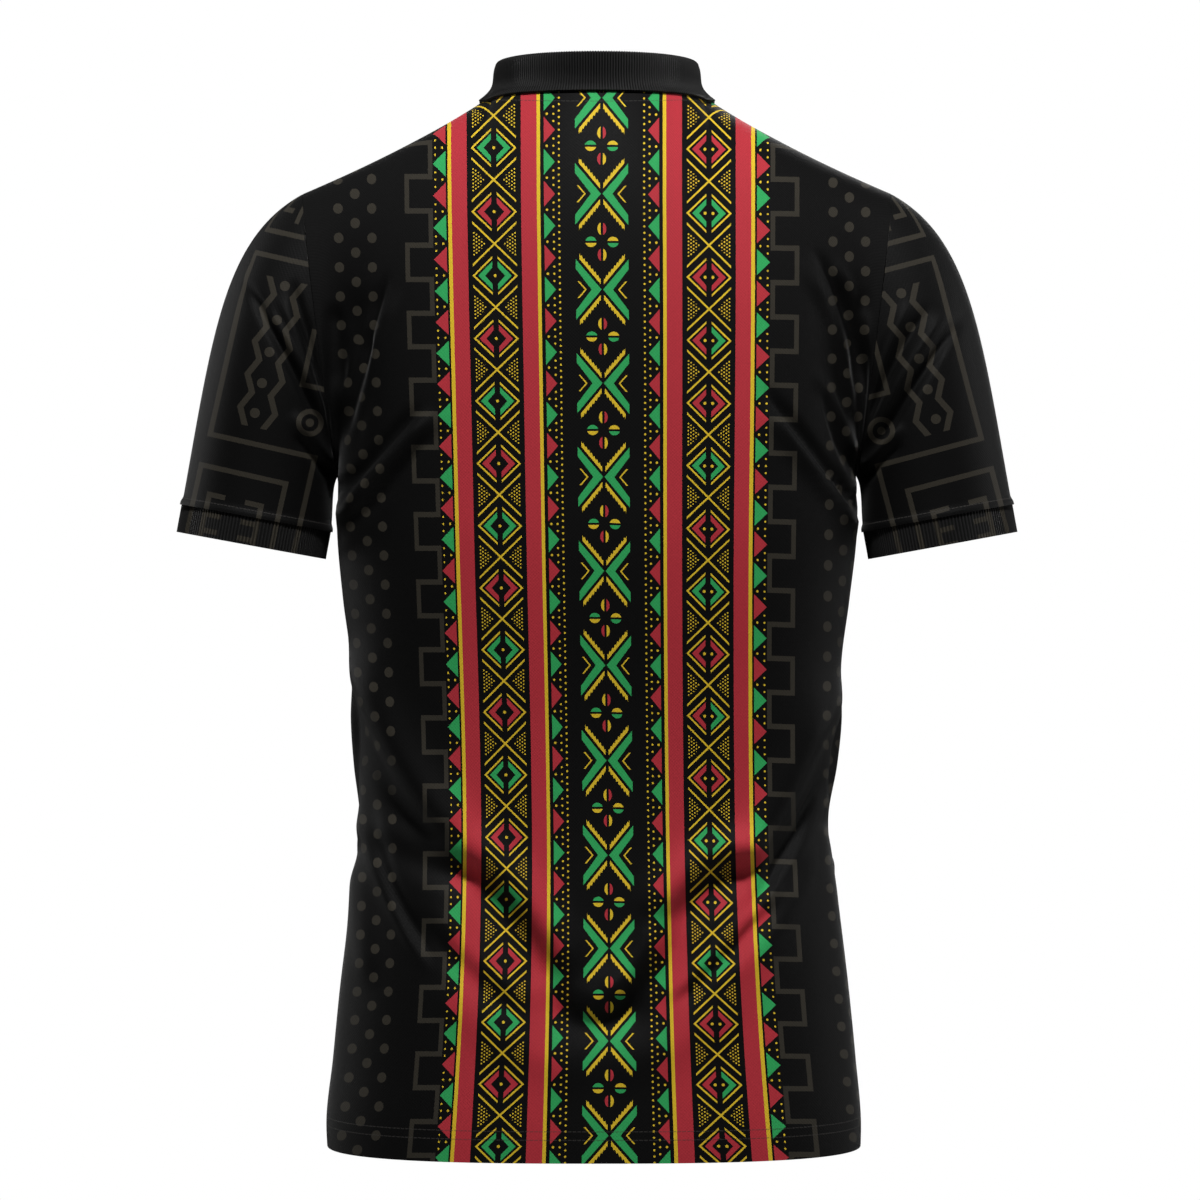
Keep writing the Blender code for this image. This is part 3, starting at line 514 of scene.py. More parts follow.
def seenPlaces(points, face=back):
    # Where points are seen from behind or from the front, on the upright plane through the origin.
    nearer = view["distance"] / (view["distance"] - face * points[..., 1])
    aside = view["aside"] + (points[..., 0] - view["aside"]) * nearer
    return aside, -(view["height"] + (points[..., 2] - view["height"]) * nearer)


def foldHeight(folds, aside, drop):
    # Sum of the folds at each place. Distances are taken to short pieces of each curved fold.
    total = np.zeros_like(aside)
    pieces = grid["foldPieces"]
    for fold in folds:
        start, middle, end = (np.array(fold[place:place + 2]) for place in (0, 2, 4))
        handle = 2 * middle - (start + end) / 2
        share = np.linspace(0, 1, pieces + 1)[:, None]
        knots = start * (1 - share) ** 2 + 2 * handle * share * (1 - share) + end * share**2
        nearest = np.full(aside.shape, np.inf)
        signed = np.zeros_like(aside)
        place = np.zeros_like(aside)
        for number in range(pieces):
            a, b = knots[number], knots[number + 1]
            ab = b - a
            t = np.clip(((aside - a[0]) * ab[0] + (drop - a[1]) * ab[1]) / (ab @ ab), 0, 1)
            dx, dy = aside - a[0] - t * ab[0], drop - a[1] - t * ab[1]
            distance = np.hypot(dx, dy)
            closer = distance < nearest
            nearest = np.where(closer, distance, nearest)
            signed = np.where(closer, np.sign(ab[0] * dy - ab[1] * dx) * distance, signed)
            place = np.where(closer, (number + t) / pieces, place)
        fade = eased(np.minimum(place, 1 - place) / grid["foldFade"])
        below = signed * math.copysign(1, end[0] - start[0]) / fold.width
        total += fade * np.exp(-below * below) * (fold.ridge - fold.step * stepShape * below)
    return total


def clothWall(name, outer, inner, maps, wrap=False, cut=None):
    # Closed wall between two grids of points, with the same maps on both sides. Cells marked in
    # cut are left open. The inner side takes the second material.
    rows, columns = outer.shape[:2]
    cells = columns if wrap else columns - 1
    keep = np.ones((rows - 1, cells), bool) if cut is None else ~cut
    row, column = np.nonzero(keep)
    after = (column + 1) % columns
    corners = np.stack([row * columns + column, row * columns + after,
                        (row + 1) * columns + after, (row + 1) * columns + column], axis=1)
    spread = np.concatenate(list(maps.values()), axis=-1)
    flat = np.stack([spread[row, column], spread[row, column + 1],
                     spread[row + 1, column + 1], spread[row + 1, column]], axis=1)
    ringed = np.zeros((rows + 1, cells + 2), bool)
    ringed[1:-1, 1:-1] = keep
    if wrap:
        ringed[1:-1, 0], ringed[1:-1, -1] = keep[:, -1], keep[:, 0]
    under = rows * columns
    faces = [corners, corners[:, ::-1] + under]
    places = [flat, flat[:, ::-1]]
    for edge, (down, across) in enumerate(((-1, 0), (0, 1), (1, 0), (0, -1))):
        bare = ~ringed[row + 1 + down, column + 1 + across]
        a, b = corners[bare, edge], corners[bare, (edge + 1) % 4]
        faces.append(np.stack([b, a, under + a, under + b], axis=1))
        places.append(flat[bare][:, [(edge + 1) % 4, edge, edge, (edge + 1) % 4]])
    quads = np.concatenate(faces)
    used, quads = np.unique(quads, return_inverse=True)
    quads = quads.reshape(-1, 4)
    points = np.concatenate([outer.reshape(-1, 3), inner.reshape(-1, 3)])[used]
    mesh = bpy.data.meshes.new(name)
    mesh.from_pydata(points.tolist(), [], quads.tolist())
    places = np.concatenate(places)
    for number, label in enumerate(maps):
        layer = mesh.uv_layers.new(name=label)
        layer.data.foreach_set("uv", places[..., 2 * number:2 * number + 2].reshape(-1).astype(np.float32))
    inside = np.zeros(len(quads), np.int32)
    inside[len(corners):2 * len(corners)] = 1
    mesh.polygons.foreach_set("material_index", inside)
    return finishMesh(name, mesh)


def finishMesh(name, mesh):
    work = bmesh.new()
    work.from_mesh(mesh)
    bmesh.ops.recalc_face_normals(work, faces=work.faces)
    work.to_mesh(mesh)
    work.free()
    mesh.shade_smooth()
    mesh.set_sharp_from_angle(angle=math.radians(grid["sharpTurn"]))
    made = bpy.data.objects.new(name, mesh)
    bpy.context.scene.collection.objects.link(made)
    return made


def shapedPanel(face):
    # Panel before and after its folds, and the normals that its thickness and its trims follow.
    plain = panelSurface(face)
    normals = seamNormals(plain, face)
    across = placesAcross(face)
    height = foldHeight(backFolds if face == back else frontFolds, *seenPlaces(plain, face))
    height *= eased((across.max() - abs(across)) / grid["sideHold"])
    points = plain + normals * height[..., None]
    return plain, points, seamNormals(points, face)


def panelPiece(name, face, plain, points, normals):
    thickness = np.full(points.shape[:2], cloth["pique"])
    thickness[:grid["hemRows"]] = cloth["turnedHem"]
    cut = None
    if face == front:
        middle = points.shape[1] // 2
        notchRow = underarmRow + round(placket["notchShare"] * grid["upperRows"])
        cut = np.zeros((points.shape[0] - 1, points.shape[1] - 1), bool)
        cut[notchRow:, middle - grid["notchColumns"]:middle + grid["notchColumns"]] = True
    maps = {"print": printSpread(face, plain, points), "cloth": clothSpread(face, plain),
            "seams": seamSpread(face, plain), "innerRise": riseSpread(face, plain, ("band", "teeth")),
            "outerRise": riseSpread(face, plain, ("battlement", "spots"))}
    return clothWall(name, points, points - normals * thickness[..., None], maps, cut=cut)


# Where the print's main lines are seen from behind, in millimetres: how far down the print, the drop
# there, and each line's place to the side. Slip is how much lower the print lies on the right, at
# the battlement line, than at the centre.
PrintLevel = namedtuple("PrintLevel", "down drop spotsLeft dotsLeft stripeLeft centre stripeRight dotsRight"
                                      " spotsRight slip")
printLevels = inMetres(
    PrintLevel,
    (-61, -65.7, 173.7, 151, 98.5, -3.1, -103.3, -158.1, -180, 1.8),
    (0, -1.5, 173.7, 151, 98, -3.1, -103.3, -158.1, -180, 1.8),
    (61, 62.8, 173.7, 150.9, 97.6, -3.1, -103.4, -158.1, -180, 1.8),
    (122, 127, 172.1, 150.1, 96.4, -3.6, -103.3, -158, -179.8, 2),
    (183, 189.7, 170, 147.8, 94.9, -4.1, -102.9, -157.2, -178.6, 2.8),
    (244, 252.5, 167, 145.1, 93.4, -4.6, -102.2, -156, -176.7, 3.2),
    (305, 315.5, 163.7, 142.2, 91.9, -5.3, -101.6, -154.9, -174.8, 3.8),
    (366, 378.7, 160.9, 139.6, 89.8, -6, -101.5, -154.3, -173.5, 3.8),
    (427, 442.5, 158.3, 137.6, 88.1, -6.8, -101.8, -154.3, -173.5, 3.8),
    (488, 505.9, 157.2, 137, 87.5, -7.6, -102.8, -155.5, -175.2, 4),
    (549, 568.4, 159, 138.3, 88.7, -8.1, -105.2, -159.4, -180, 2.6),
    (610, 630.5, 163.6, 142, 91.3, -8.2, -108.8, -165, -186.5, 1.6),
    (671, 693.9, 171.2, 148, 95, -8.2, -113.7, -172, -194, 0.4),
    (732, 757.3, 180, 155, 99, -8.2, -119, -180, -202, 0.4),
)
# The print's own sizes: one step of the crosses, and the lines that the levels place. Turned is the
# least share of the cloth that the print takes where the cloth turns away.
chart = {"step": 0.0610, "edge": 0.188, "spots": 0.181, "dots": 0.158, "stripe": 0.0989,
         "battlement": 0.125, "slipEnd": 1.3, "placketFoot": 0.208, "turned": 0.5}


def downTheCloth(plain):
    # Distance down each column of a panel, which equals the drop at the underarm.
    along = lengthsAlong(plain)
    return body["underarm"] + along[underarmRow] - along


def printedDown(plain):
    # How far down its print a point of the back lies: as seen from behind, and on along the cloth
    # where the shoulders turn away.
    down = read(printLevels, "drop", "down", seenPlaces(plain)[1])
    rises = np.diff(lengthsAlong(plain[underarmRow:]), axis=0) * chart["turned"]
    rises = np.maximum(down[underarmRow:-1] - down[underarmRow + 1:], rises)
    return np.concatenate([down[:underarmRow + 1], down[underarmRow] - np.cumsum(rises, axis=0)])


# How much higher than the crosses beside them the print's other parts are seen, in millimetres.
PrintRise = namedtuple("PrintRise", "drop band teeth battlement spots")
printRises = {
    left: inMetres(
        PrintRise,
        (100, 0, -1.2, 0, 0),
        (300, 0, 0, -0.6, -0.6),
        (400, 1.5, 0.8, -1, -1.6),
        (500, 2.6, 2.4, -1.4, -2.4),
        (620, 3.4, 4.8, -1.8, -3),
        (700, 4.4, 6.2, -1.8, -3),
    ),
    right: inMetres(
        PrintRise,
        (100, 0, -1.2, 0, 0),
        (300, 0, 0, -2, -1.6),
        (360, 0.4, 0.4, -2.8, -4.8),
        (500, 2.6, 3, -2.6, -5.2),
        (620, 3.2, 5.4, -2.2, -5),
        (700, 4.8, 6.6, -0.9, -3.6),
    ),
}


def riseSpread(face, plain, names):
    # The rises of two parts of the print at each point. The front's print has none.
    if face == front:
        return np.zeros(plain.shape[:2] + (2,))
    aside, drop = seenPlaces(plain)
    rises = []
    for name in names:
        atSides = [read(printRises[side], "drop", name, drop) for side in (left, right)]
        rises.append(np.where(aside > 0, *atSides))
    return np.stack(rises, axis=-1)


def frontSpread(plain):
    # The front's print goes round and down the cloth, with its rows level with those of the back.
    behind = panels[back][0]
    middle = behind.shape[1] // 2
    downs = downTheCloth(behind)[:, middle]
    late = printedDown(behind)[:, middle] - downs
    down = downTheCloth(plain)
    down = down + np.interp(down, downs[::-1], late[::-1])
    return np.stack([np.broadcast_to(placesAcross(front), down.shape), down], axis=-1)


def keptUp(spread, plain):
    # From the first column of spots on, the print takes no less than the turned share of the cloth
    # round the body, and beyond the edge all of it.
    middle = spread.shape[1] // 2
    girth = lengthsAlong(plain.transpose(1, 0, 2)).T
    for side in (left, right):
        columns = np.arange(middle, -1, -1) if side == left else np.arange(middle, spread.shape[1])
        reach = side * spread[:, columns]
        along = abs(np.diff(girth[:, columns], axis=1))
        rises = np.diff(reach, axis=1)
        rises = np.where(reach[:, 1:] > chart["dots"], np.maximum(rises, along * chart["turned"]), rises)
        rises = np.where(reach[:, 1:] > chart["edge"], along, rises)
        spread[:, columns[1:]] = side * (reach[:, :1] + np.cumsum(rises, axis=1))
    return spread


def printSpread(face, plain, points):
    # Where each point lies on the printed cloth, across and down. The back's print runs straight
    # over the folds as seen from behind.
    if face == front:
        return frontSpread(plain)
    aside, drop = seenPlaces(points)
    lines = {name: read(printLevels, "drop", name, drop) for name in PrintLevel._fields}
    spread = np.empty_like(aside)
    known = [0.0, chart["stripe"], chart["dots"], chart["edge"]]
    further = (chart["edge"] - chart["dots"]) / (chart["spots"] - chart["dots"])
    for side, label in ((left, "Left"), (right, "Right")):
        places = [lines[name] for name in ("centre", "stripe" + label, "dots" + label, "spots" + label)]
        ahead = (aside - places[0]) * side
        reached = [(place - places[0]) * side for place in places]
        reached[3] = reached[2] + (reached[3] - reached[2]) * further
        own = ahead >= 0
        for first, last in ((0, 1), (1, 2), (2, 3)):
            share = (ahead - reached[first]) / (reached[last] - reached[first])
            between = own & (ahead >= reached[first])
            spread[between] = (side * (known[first] + share * (known[last] - known[first])))[between]
    spread = keptUp(spread, plain)
    down = printedDown(plain) + drop - seenPlaces(plain)[1]
    down = down - lines["slip"] * np.clip(-spread / chart["battlement"], 0, chart["slipEnd"])
    return np.stack([spread, down], axis=-1)


def clothSpread(face, plain):
    # Real distances on the cloth: round from the centre, and up from the hem.
    along = lengthsAlong(plain)
    return np.stack([np.broadcast_to(placesAcross(face), along.shape), along], axis=-1)


def seamSpread(face, plain):
    # Distances from the neck seam and from the armhole seams.
    turns = np.linspace(0, math.pi / 2, grid["seamPoints"])
    necks = np.concatenate([neckSeam(face, side, turns) for side in (left, right)])
    necks[:, 1] += face * cloth["seamGap"] / 2
    holes = np.concatenate([plain[underarmRow:, 0], plain[underarmRow:, -1]])
    apart = []
    for seam in (necks, holes):
        nearest = np.full(plain.shape[:2], np.inf)
        for point in seam:
            nearest = np.minimum(nearest, np.linalg.norm(plain - point, axis=-1))
        apart.append(nearest)
    return np.stack(apart, axis=-1)


panels = {face: shapedPanel(face) for face in (back, front)}
backPiece = panelPiece("back_panel", back, *panels[back])
frontPiece = panelPiece("front_panel", front, *panels[front])
print("stage: panels")

# Sleeves. Each leaves the armhole out, aside and down, by angle from the shoulder point, and is
# held straight over its finish at the cuff.
sleeve = {"tilt": math.radians(10.4), "cuffCentre": (0.2316, -0.2985), "cuffRadius": 0.0504,
          "cuffDepth": 0.0520, "cuffHeight": 0.0195, "meanRadius": 0.0564, "rows": 94, "edgeRows": 8,
          "edgeStart": 0.979, "seamHold": 0.06, "cuffHold": 0.15, "edgeHold": 0.4,
          "lap": 0.0010, "lip": 0.0014, "lipWall": 0.0009, "lipStart": 0.0014, "lipReach": 0.0050}
SleeveLine = namedtuple("SleeveLine", "angle out aside down finish")
sleeveLines = (
    SleeveLine(0, 0.0550, 0.000, 0.030, 0.110),
    SleeveLine(45, 0.0500, 0.010, 0.034, 0.085),
    SleeveLine(90, 0.0300, 0.010, 0.034, 0.055),
    SleeveLine(135, 0.0140, 0.004, 0.018, 0.028),
    SleeveLine(180, 0.0045, 0.000, 0.007, 0.013),
)
sleeveFolds = {
    left: {
        back: inMetres(
            Fold,
            (238, 118, 210, 168, 178, 232, 3.6, -4.4, 0),
            (228, 134, 200, 176, 174, 236, 4.2, 3.2, 0),
            (206, 118, 194, 158, 178, 216, 3.6, -3.8, 0),
            (214, 130, 198, 166, 180, 216, 4, 2.8, 0),
            (194, 140, 186, 172, 178, 206, 3.6, -3, 0),
            (206, 208, 190, 228, 174, 250, 5, 3.6, 0),
            (204, 222, 190, 238, 176, 254, 4, -2.4, 0),
        ),
        front: inMetres(
            Fold,
            (242, 132, 208, 180, 180, 244, 4.5, -3.6, 0),
            (212, 130, 194, 172, 178, 220, 4.5, -3, 0),
            (226, 134, 200, 178, 178, 230, 5, 2.8, 0),
        ),
    },
    right: {
        back: inMetres(
            Fold,
            (-250, 138, -214, 190, -178, 246, 3.8, -4.6, 0),
            (-240, 136, -206, 182, -178, 234, 4.5, 3.2, 0),
            (-226, 134, -198, 178, -179, 224, 3.8, -4, 0),
            (-212, 132, -194, 166, -180, 204, 4.2, 2.6, 0),
            (-206, 216, -192, 232, -176, 250, 5, 3.4, 0),
            (-206, 228, -190, 242, -178, 256, 4, -2.4, 0),
        ),
        front: inMetres(
            Fold,
            (-246, 136, -210, 186, -180, 240, 4.5, -3.6, 0),
            (-216, 132, -196, 170, -179, 216, 4.5, -3, 0),
            (-232, 138, -204, 180, -179, 228, 5, 2.8, 0),
        ),
    },
}


def armhole(side):
    # Loop of seam points from the shoulder point down the back, and up the front.
    column = 0 if side == left else -1
    backEdge = panels[back][1][underarmRow:, column][::-1]
    frontEdge = panels[front][1][underarmRow:, column]
    loop = np.concatenate([backEdge, frontEdge[1:-1]])
    loop[grid["upperRows"]] = (backEdge[-1] + frontEdge[0]) / 2
    loop[0] = (backEdge[0] + frontEdge[-1]) / 2
    return loop


def sleeveAxes(side):
    down = np.array([side * math.sin(sleeve["tilt"]), 0, -math.cos(sleeve["tilt"])])
    out = np.array([side * math.cos(sleeve["tilt"]), 0, math.sin(sleeve["tilt"])])
    return down, out


def cuffRing(side, angles, above):
    down, out = sleeveAxes(side)
    centre = np.array([side * sleeve["cuffCentre"][0], 0, sleeve["cuffCentre"][1]]) - down * above
    ring = centre + np.outer(np.cos(angles) * sleeve["cuffRadius"], out)
    ring[:, 1] += np.sin(angles) * sleeve["cuffDepth"]
    return ring


def outwardNormals(points):
    normals = gridNormals(points, wrap=True)
    return normals if ((points - points.mean(axis=1, keepdims=True)) * normals).sum() > 0 else -normals


def sleeveShares():
    # Shares of a sleeve line for its rows, close together at the lower edge.
    upper = np.linspace(0, sleeve["edgeStart"], sleeve["rows"] + 1)
    return np.append(upper, np.linspace(sleeve["edgeStart"], 1, sleeve["edgeRows"] + 1)[1:])


def sleeveSurface(side):
    # Rows run from the armhole to the cuff seam, columns from the outer line round the back.
    loop = armhole(side)
    half = grid["upperRows"]
    ahead = lengthsAlong(loop[:half + 1])
    behind = lengthsAlong(np.concatenate([loop[half:], loop[:1]]))
    angles = np.concatenate([ahead / ahead[-1] * math.pi, math.pi + behind[1:-1] / behind[-1] * math.pi])
    ends = cuffRing(side, angles, sleeve["cuffHeight"] - sleeve["lap"])
    down, _ = sleeveAxes(side)
    t = sleeveShares()
    lines = []
    for number, angle in enumerate(angles):
        turn = math.degrees(angle)
        face = back if turn <= 180 else front
        turn = turn if turn <= 180 else 360 - turn
        line = {name: read(sleeveLines, "angle", name, turn) for name in ("out", "aside", "down", "finish")}
        leaving = np.array([side * line["out"], face * line["aside"], -line["down"]])
        start = loop[number] + unit(leaving) * cloth["armholeGap"]
        lines.append(bezier(start, start + leaving, ends[number] - down * line["finish"], ends[number], t))
    return np.stack(lines, axis=1), angles


# Tilt, start and scale of the sleeves' print as it is seen from behind. Edge is the share of the
# half round, from the outer line, where it follows the cloth at the turned share of its length.
sleevePrint = {"tilt": {left: math.radians(12.7), right: math.radians(14.8)},
               "origin": {left: (0.2318, 0.1022), right: (-0.2257, 0.1062)},
               "scale": 0.982, "turned": 0.6, "edge": 0.22}


def sleeveSpread(points, side):
    # Where each point lies on the sleeve's printed cloth: across it towards the body and down its
    # length, as seen from behind, and at the outer edge on along the cloth. The front mirrors it.
    tilt = sleevePrint["tilt"][side]
    down = np.array([side * math.sin(tilt), math.cos(tilt)])
    out = np.array([side * math.cos(tilt), -math.sin(tilt)])
    half = points.shape[1] // 2
    behind = points[:, :half + 1]
    place = np.stack(seenPlaces(behind), axis=-1) - sleevePrint["origin"][side]
    across = -place @ out * sleevePrint["scale"]
    steps = np.hypot(np.diff(across, axis=1), np.diff(behind[..., 1], axis=1)) * sleevePrint["turned"]
    edge = int(half * sleevePrint["edge"])
    steps = np.maximum(np.diff(across, axis=1), steps)[:, :edge]
    across[:, :edge] = across[:, edge:edge + 1] - np.cumsum(steps[:, ::-1], axis=1)[:, ::-1]
    seen = np.stack([across, place @ down * sleevePrint["scale"]], axis=-1)
    return np.concatenate([seen, seen[:, -2::-1]], axis=1)


def sleevePieces(label, side):
    plain, angles = sleeveSurface(side)
    normals = outwardNormals(plain)
    signed = np.where(angles > math.pi, angles - 2 * math.pi, angles)
    across = signed * sleeve["meanRadius"]
    share = sleeveShares()[:, None]
    hold = eased(share / sleeve["seamHold"]) * eased((1 - share) / sleeve["cuffHold"])
    hold = hold * eased(abs(np.sin(angles)) / sleeve["edgeHold"])
    height = np.where(angles <= math.pi, foldHeight(sleeveFolds[side][back], *seenPlaces(plain)),
                      foldHeight(sleeveFolds[side][front], *seenPlaces(plain, front)))
    # The lower edge is turned up, and its fold laps over the cuff.
    rest = lengthsAlong(plain)[-1:] - lengthsAlong(plain)
    lip = sleeve["lip"] * (1 - eased((rest - sleeve["lipStart"]) / sleeve["lipReach"]))
    points = plain + normals * (height * hold + lip)[..., None]
    maps = {"print": sleeveSpread(points, side), "cloth": sleeveCloth(plain, across)}
    thickness = np.full(len(plain), cloth["pique"])
    thickness[-sleeve["edgeRows"]:] = sleeve["lipWall"]
    inner = points - normals * thickness[:, None, None]
    made = clothWall("sleeve_" + label + "_cloth", points, inner, maps, wrap=True)
    ribs = round(ribKnit["cuffGirth"] / ribKnit["pitch"])
    count = ribs * ribKnit["columns"]
    fine = np.linspace(0, 2 * math.pi, count, endpoint=False) / (2 * math.pi) * len(angles)
    fine = np.interp(fine, np.arange(len(angles) + 1), np.append(angles, 2 * math.pi))
    shown = np.linspace(1, 0, ribKnit["cuffRows"]) * sleeve["cuffHeight"]
    band = np.stack([cuffRing(side, fine, above) for above in shown])
    outward = outwardNormals(band)
    tucked = np.stack([cuffRing(side, fine, shown[0] + rise) for rise in (ribKnit["tuckRise"], 0.0)])
    tucked = tucked - outward[:1] * ribKnit["tuckInset"]
    wave = np.cos(np.arange(count) * 2 * math.pi / ribKnit["columns"]) * ribKnit["relief"]
    band = np.concatenate([tucked, band + outward * wave[None, :, None]])
    outward = np.concatenate([outward[:1], outward[:1], outward])
    thickness = np.full(len(band), cloth["rib"])
    thickness[:2] = ribKnit["tuckThickness"]
    girth = np.arange(count) * ribKnit["cuffGirth"] / count
    maps = {"print": sleeveSpread(band, side), "cloth": sleeveCloth(band, girth)}
    inner = band - outward * thickness[:, None, None]
    return made, clothWall("cuff_" + label + "_rib", band, inner, maps, wrap=True)


def sleeveCloth(points, across):
    # Real distances on the cloth: round from the outer line, and up from the lower edge.
    height = lengthsAlong(points)
    height = np.concatenate([height, height[:, :1]], axis=1)
    whole = np.broadcast_to(np.append(across, across[0] + ribKnit["cuffGirth"]), height.shape)
    return np.stack([whole, height[-1:] - height], axis=-1)


# Rib knit of the cuffs and collar: raised wales.
ribKnit = {"pitch": 0.0020, "relief": 0.00028, "columns": 4, "cuffGirth": 0.3217, "cuffRows": 9,
           "tuckRise": 0.004, "tuckInset": 0.0019, "tuckThickness": 0.001}
sleeves = {}
for label, side in (("left", left), ("right", right)):
    sleeves[label] = sleevePieces(label, side)
print("stage: sleeves and cuffs")

# Collar: a rib strip that stands at the neck and folds over.
collar = {"halfWidth": 0.0655, "foldBack": 0.0620, "foldFront": 0.0660, "foldHeight": 0.0225,
          "frontDrop": 0.0690, "foldRadius": 0.0024, "endGap": 0.004, "lift": 0.0006, "sag": 0.0044,
          "sagPower": 1.6, "sagBack": 0.5, "below": {"back": 0.0004, "side": 0.0092}, "slope": 0.6,
          "bends": ((0.080, -0.026, 0.000), (0.085, -0.066, -0.047)), "point": (0.052, -0.096, -0.103),
          "stations": 34, "patchPoints": 61, "patchEnd": 0.35, "patchShoulder": 0.020, "patchBlend": 0.003,
          "standRows": 5, "foldTurns": 9, "fallRows": 11, "holdRows": 2, "ribPitch": 0.0018,
          "relief": 0.00030}


def patchNearNeck(face, side):
    # Close grid of surface points below the neckline and the shoulder's inner part.
    top, neckLength = topLine(face, side)
    whole = lengthsAlong(top)[-1]
    ringLength = lengthsAlong(halfRing(face, side, body["underarm"]))[-1]
    t = np.linspace(1, collar["patchEnd"], collar["patchPoints"])
    places = np.linspace(0, neckLength + collar["patchShoulder"], collar["patchPoints"])
    points = [upperLine(face, side, place / whole * ringLength, place, t) for place in places]
    points = np.stack(points, axis=1)
    points[..., 1] += face * cloth["seamGap"] / 2
    normals = gridNormals(points)
    middle = normals[len(points) // 2, len(points) // 2]
    return points, normals if middle[1] * face > 0 else -normals


def aboveCloth(patch, target):
    # The cloth's normal by a point, and the point's height above the cloth.
    points, normals = patch
    apart = ((points - target) ** 2).sum(axis=-1)
    weight = np.exp((apart.min() - apart) / (2 * collar["patchBlend"] ** 2))[..., None]
    normal = unit((normals * weight).sum(axis=(0, 1)))
    base = (points * weight).sum(axis=(0, 1)) / weight.sum()
    return normal, (target - base) @ normal


def clearOf(patch, target, lift, settle=False):
    # The point moved out until it is clear of the cloth, or down on it as well if it settles.
    normal, height = aboveCloth(patch, target)
    rise = lift - height
    return target + normal * (rise if settle else max(0.0, rise))


def collarEdge(face, side, angle, seam, outward):
    # Where the fall's edge lies: close below the back neck seam, and out to a point in front.
    if face == back:
        turned = math.sin(angle)
        below = collar["below"]["side"] * (1 - turned) + collar["below"]["back"] * turned
        return seam + outward * below - np.array([0, 0, collar["slope"] * below])
    out = collar["below"]["side"]
    shoulder = np.array([side * (neck["point"][0] + out), 0, neck["point"][1] - collar["slope"] * out])
    bends = [np.array([side, 1, 1]) * bend for bend in collar["bends"]]
    return bezier(shoulder, *bends, np.array([side, 1, 1]) * collar["point"], [angle / (math.pi / 2)])[0]


def collarStation(face, side, angle, seam, along, patch):
    # One cross-section, from the neck seam up the neck side, over the fold and down the fall.
    turned = math.sin(angle)
    depth = collar["foldBack"] if face == back else collar["foldFront"]
    lowered = 0 if face == back else collar["frontDrop"]
    fold = np.array([side * collar["halfWidth"] * math.cos(angle), face * depth * turned,
                     collar["foldHeight"] - lowered * turned ** neck["rounding"]])
    outward = unit([side * math.cos(angle) / collar["halfWidth"], face * turned / depth, 0])
    rising = unit(fold - seam)
    normal, _ = aboveCloth(patch, seam)
    inward = unit(np.cross(along, normal))
    inward = inward if inward @ outward < 0 else -inward
    across = unit(outward - rising * (outward @ rising))
    foot = seam - across * cloth["pique"]
    nearest = min((foot - seam) @ inward, (foot + across * cloth["rib"] - seam) @ inward)
    foot = foot + inward * (cloth["collarGap"] - nearest)
    lift = cloth["rib"] + collar["lift"]
    edge = clearOf(patch, collarEdge(face, side, angle, seam, outward), lift, settle=True)
    arc = []
    for turn in np.linspace(0, math.pi, collar["foldTurns"]):
        arc.append(fold + (rising * math.sin(turn) - outward * math.cos(turn)) * collar["foldRadius"])
    stand = [foot + (arc[0] - foot) * share for share in np.linspace(0, 1, collar["standRows"])[:-1]]
    fall = []
    for share in np.linspace(0, 1, collar["fallRows"])[1:-1]:
        inwards = math.sin(math.pi * share ** collar["sagPower"]) * collar["sag"]
        inwards = inwards * (1 - turned * collar["sagBack"])
        place = arc[-1] * (1 - share) + edge * share - outward * inwards
        fall.append(clearOf(patch, place, lift))
    return np.array(stand + arc + fall + [edge])


def collarSurface():
    # Stations run from the front's left end round the back to the front's right end.
    runs = []
    for face, side in ((front, left), (back, left), (back, right), (front, right)):
        patch = patchNearNeck(face, side)
        arc = np.linspace(math.pi / 2, 0, grid["curveSteps"] // 2)
        whole = lengthsAlong(neckSeam(face, side, arc))
        start = collar["endGap"] if face == front else 0.0
        distances = np.linspace(start, whole[-1], collar["stations"])
        angles = np.interp(distances, whole, arc)
        seams = neckSeam(face, side, angles)
        tangents = np.gradient(seams, axis=0)
        run = [collarStation(face, side, *place, patch) for place in zip(angles, seams, tangents)]
        runs.append(run if (face, side) in ((front, left), (back, right)) else run[::-1])
    leftFront, leftBack, rightBack, rightFront = runs
    return np.stack(leftFront + leftBack[1:] + rightBack[1:] + rightFront[1:], axis=1)


def smoothColumns(points, places):
    # Catmull-Rom curve through the columns of a grid.
    last = points.shape[1] - 1
    low = np.clip(places.astype(int), 0, last - 1)
    t = (places - low)[None, :, None]
    p0, p1, p2, p3 = (points[:, np.clip(low + step, 0, last)] for step in (-1, 0, 1, 2))
    return (p1 + 0.5 * t * (p2 - p0 + t * (2 * p0 - 5 * p1 + 4 * p2 - p3 + t * (3 * (p1 - p2) + p3 - p0))))


def collarPiece():
    coarse = collarSurface()
    girth = lengthsAlong(coarse[0])
    ribs = round(girth[-1] / collar["ribPitch"])
    distances = np.linspace(0, girth[-1], ribs * ribKnit["columns"] + 1)
    points = smoothColumns(coarse, np.interp(distances, girth, np.arange(len(girth))))
    normals = gridNormals(points)
    if normals[collar["standRows"] + collar["foldTurns"] // 2, points.shape[1] // 2][2] < 0:
        normals = -normals
    down = lengthsAlong(points[:, points.shape[1] // 2])
    maps = {"cloth": np.stack(np.broadcast_arrays(distances, down[:, None]), axis=-1)}
    wave = -np.cos(np.arange(len(distances)) * 2 * math.pi / ribKnit["columns"]) * collar["relief"]
    hold = eased(np.minimum(np.arange(len(points)), np.arange(len(points))[::-1]) / collar["holdRows"])
    points = points + normals * (wave[None, :] * hold[:, None])[..., None]
    return clothWall("collar_rib", points, points - normals * cloth["rib"], maps)


collarMade = collarPiece()
print("stage: collar")


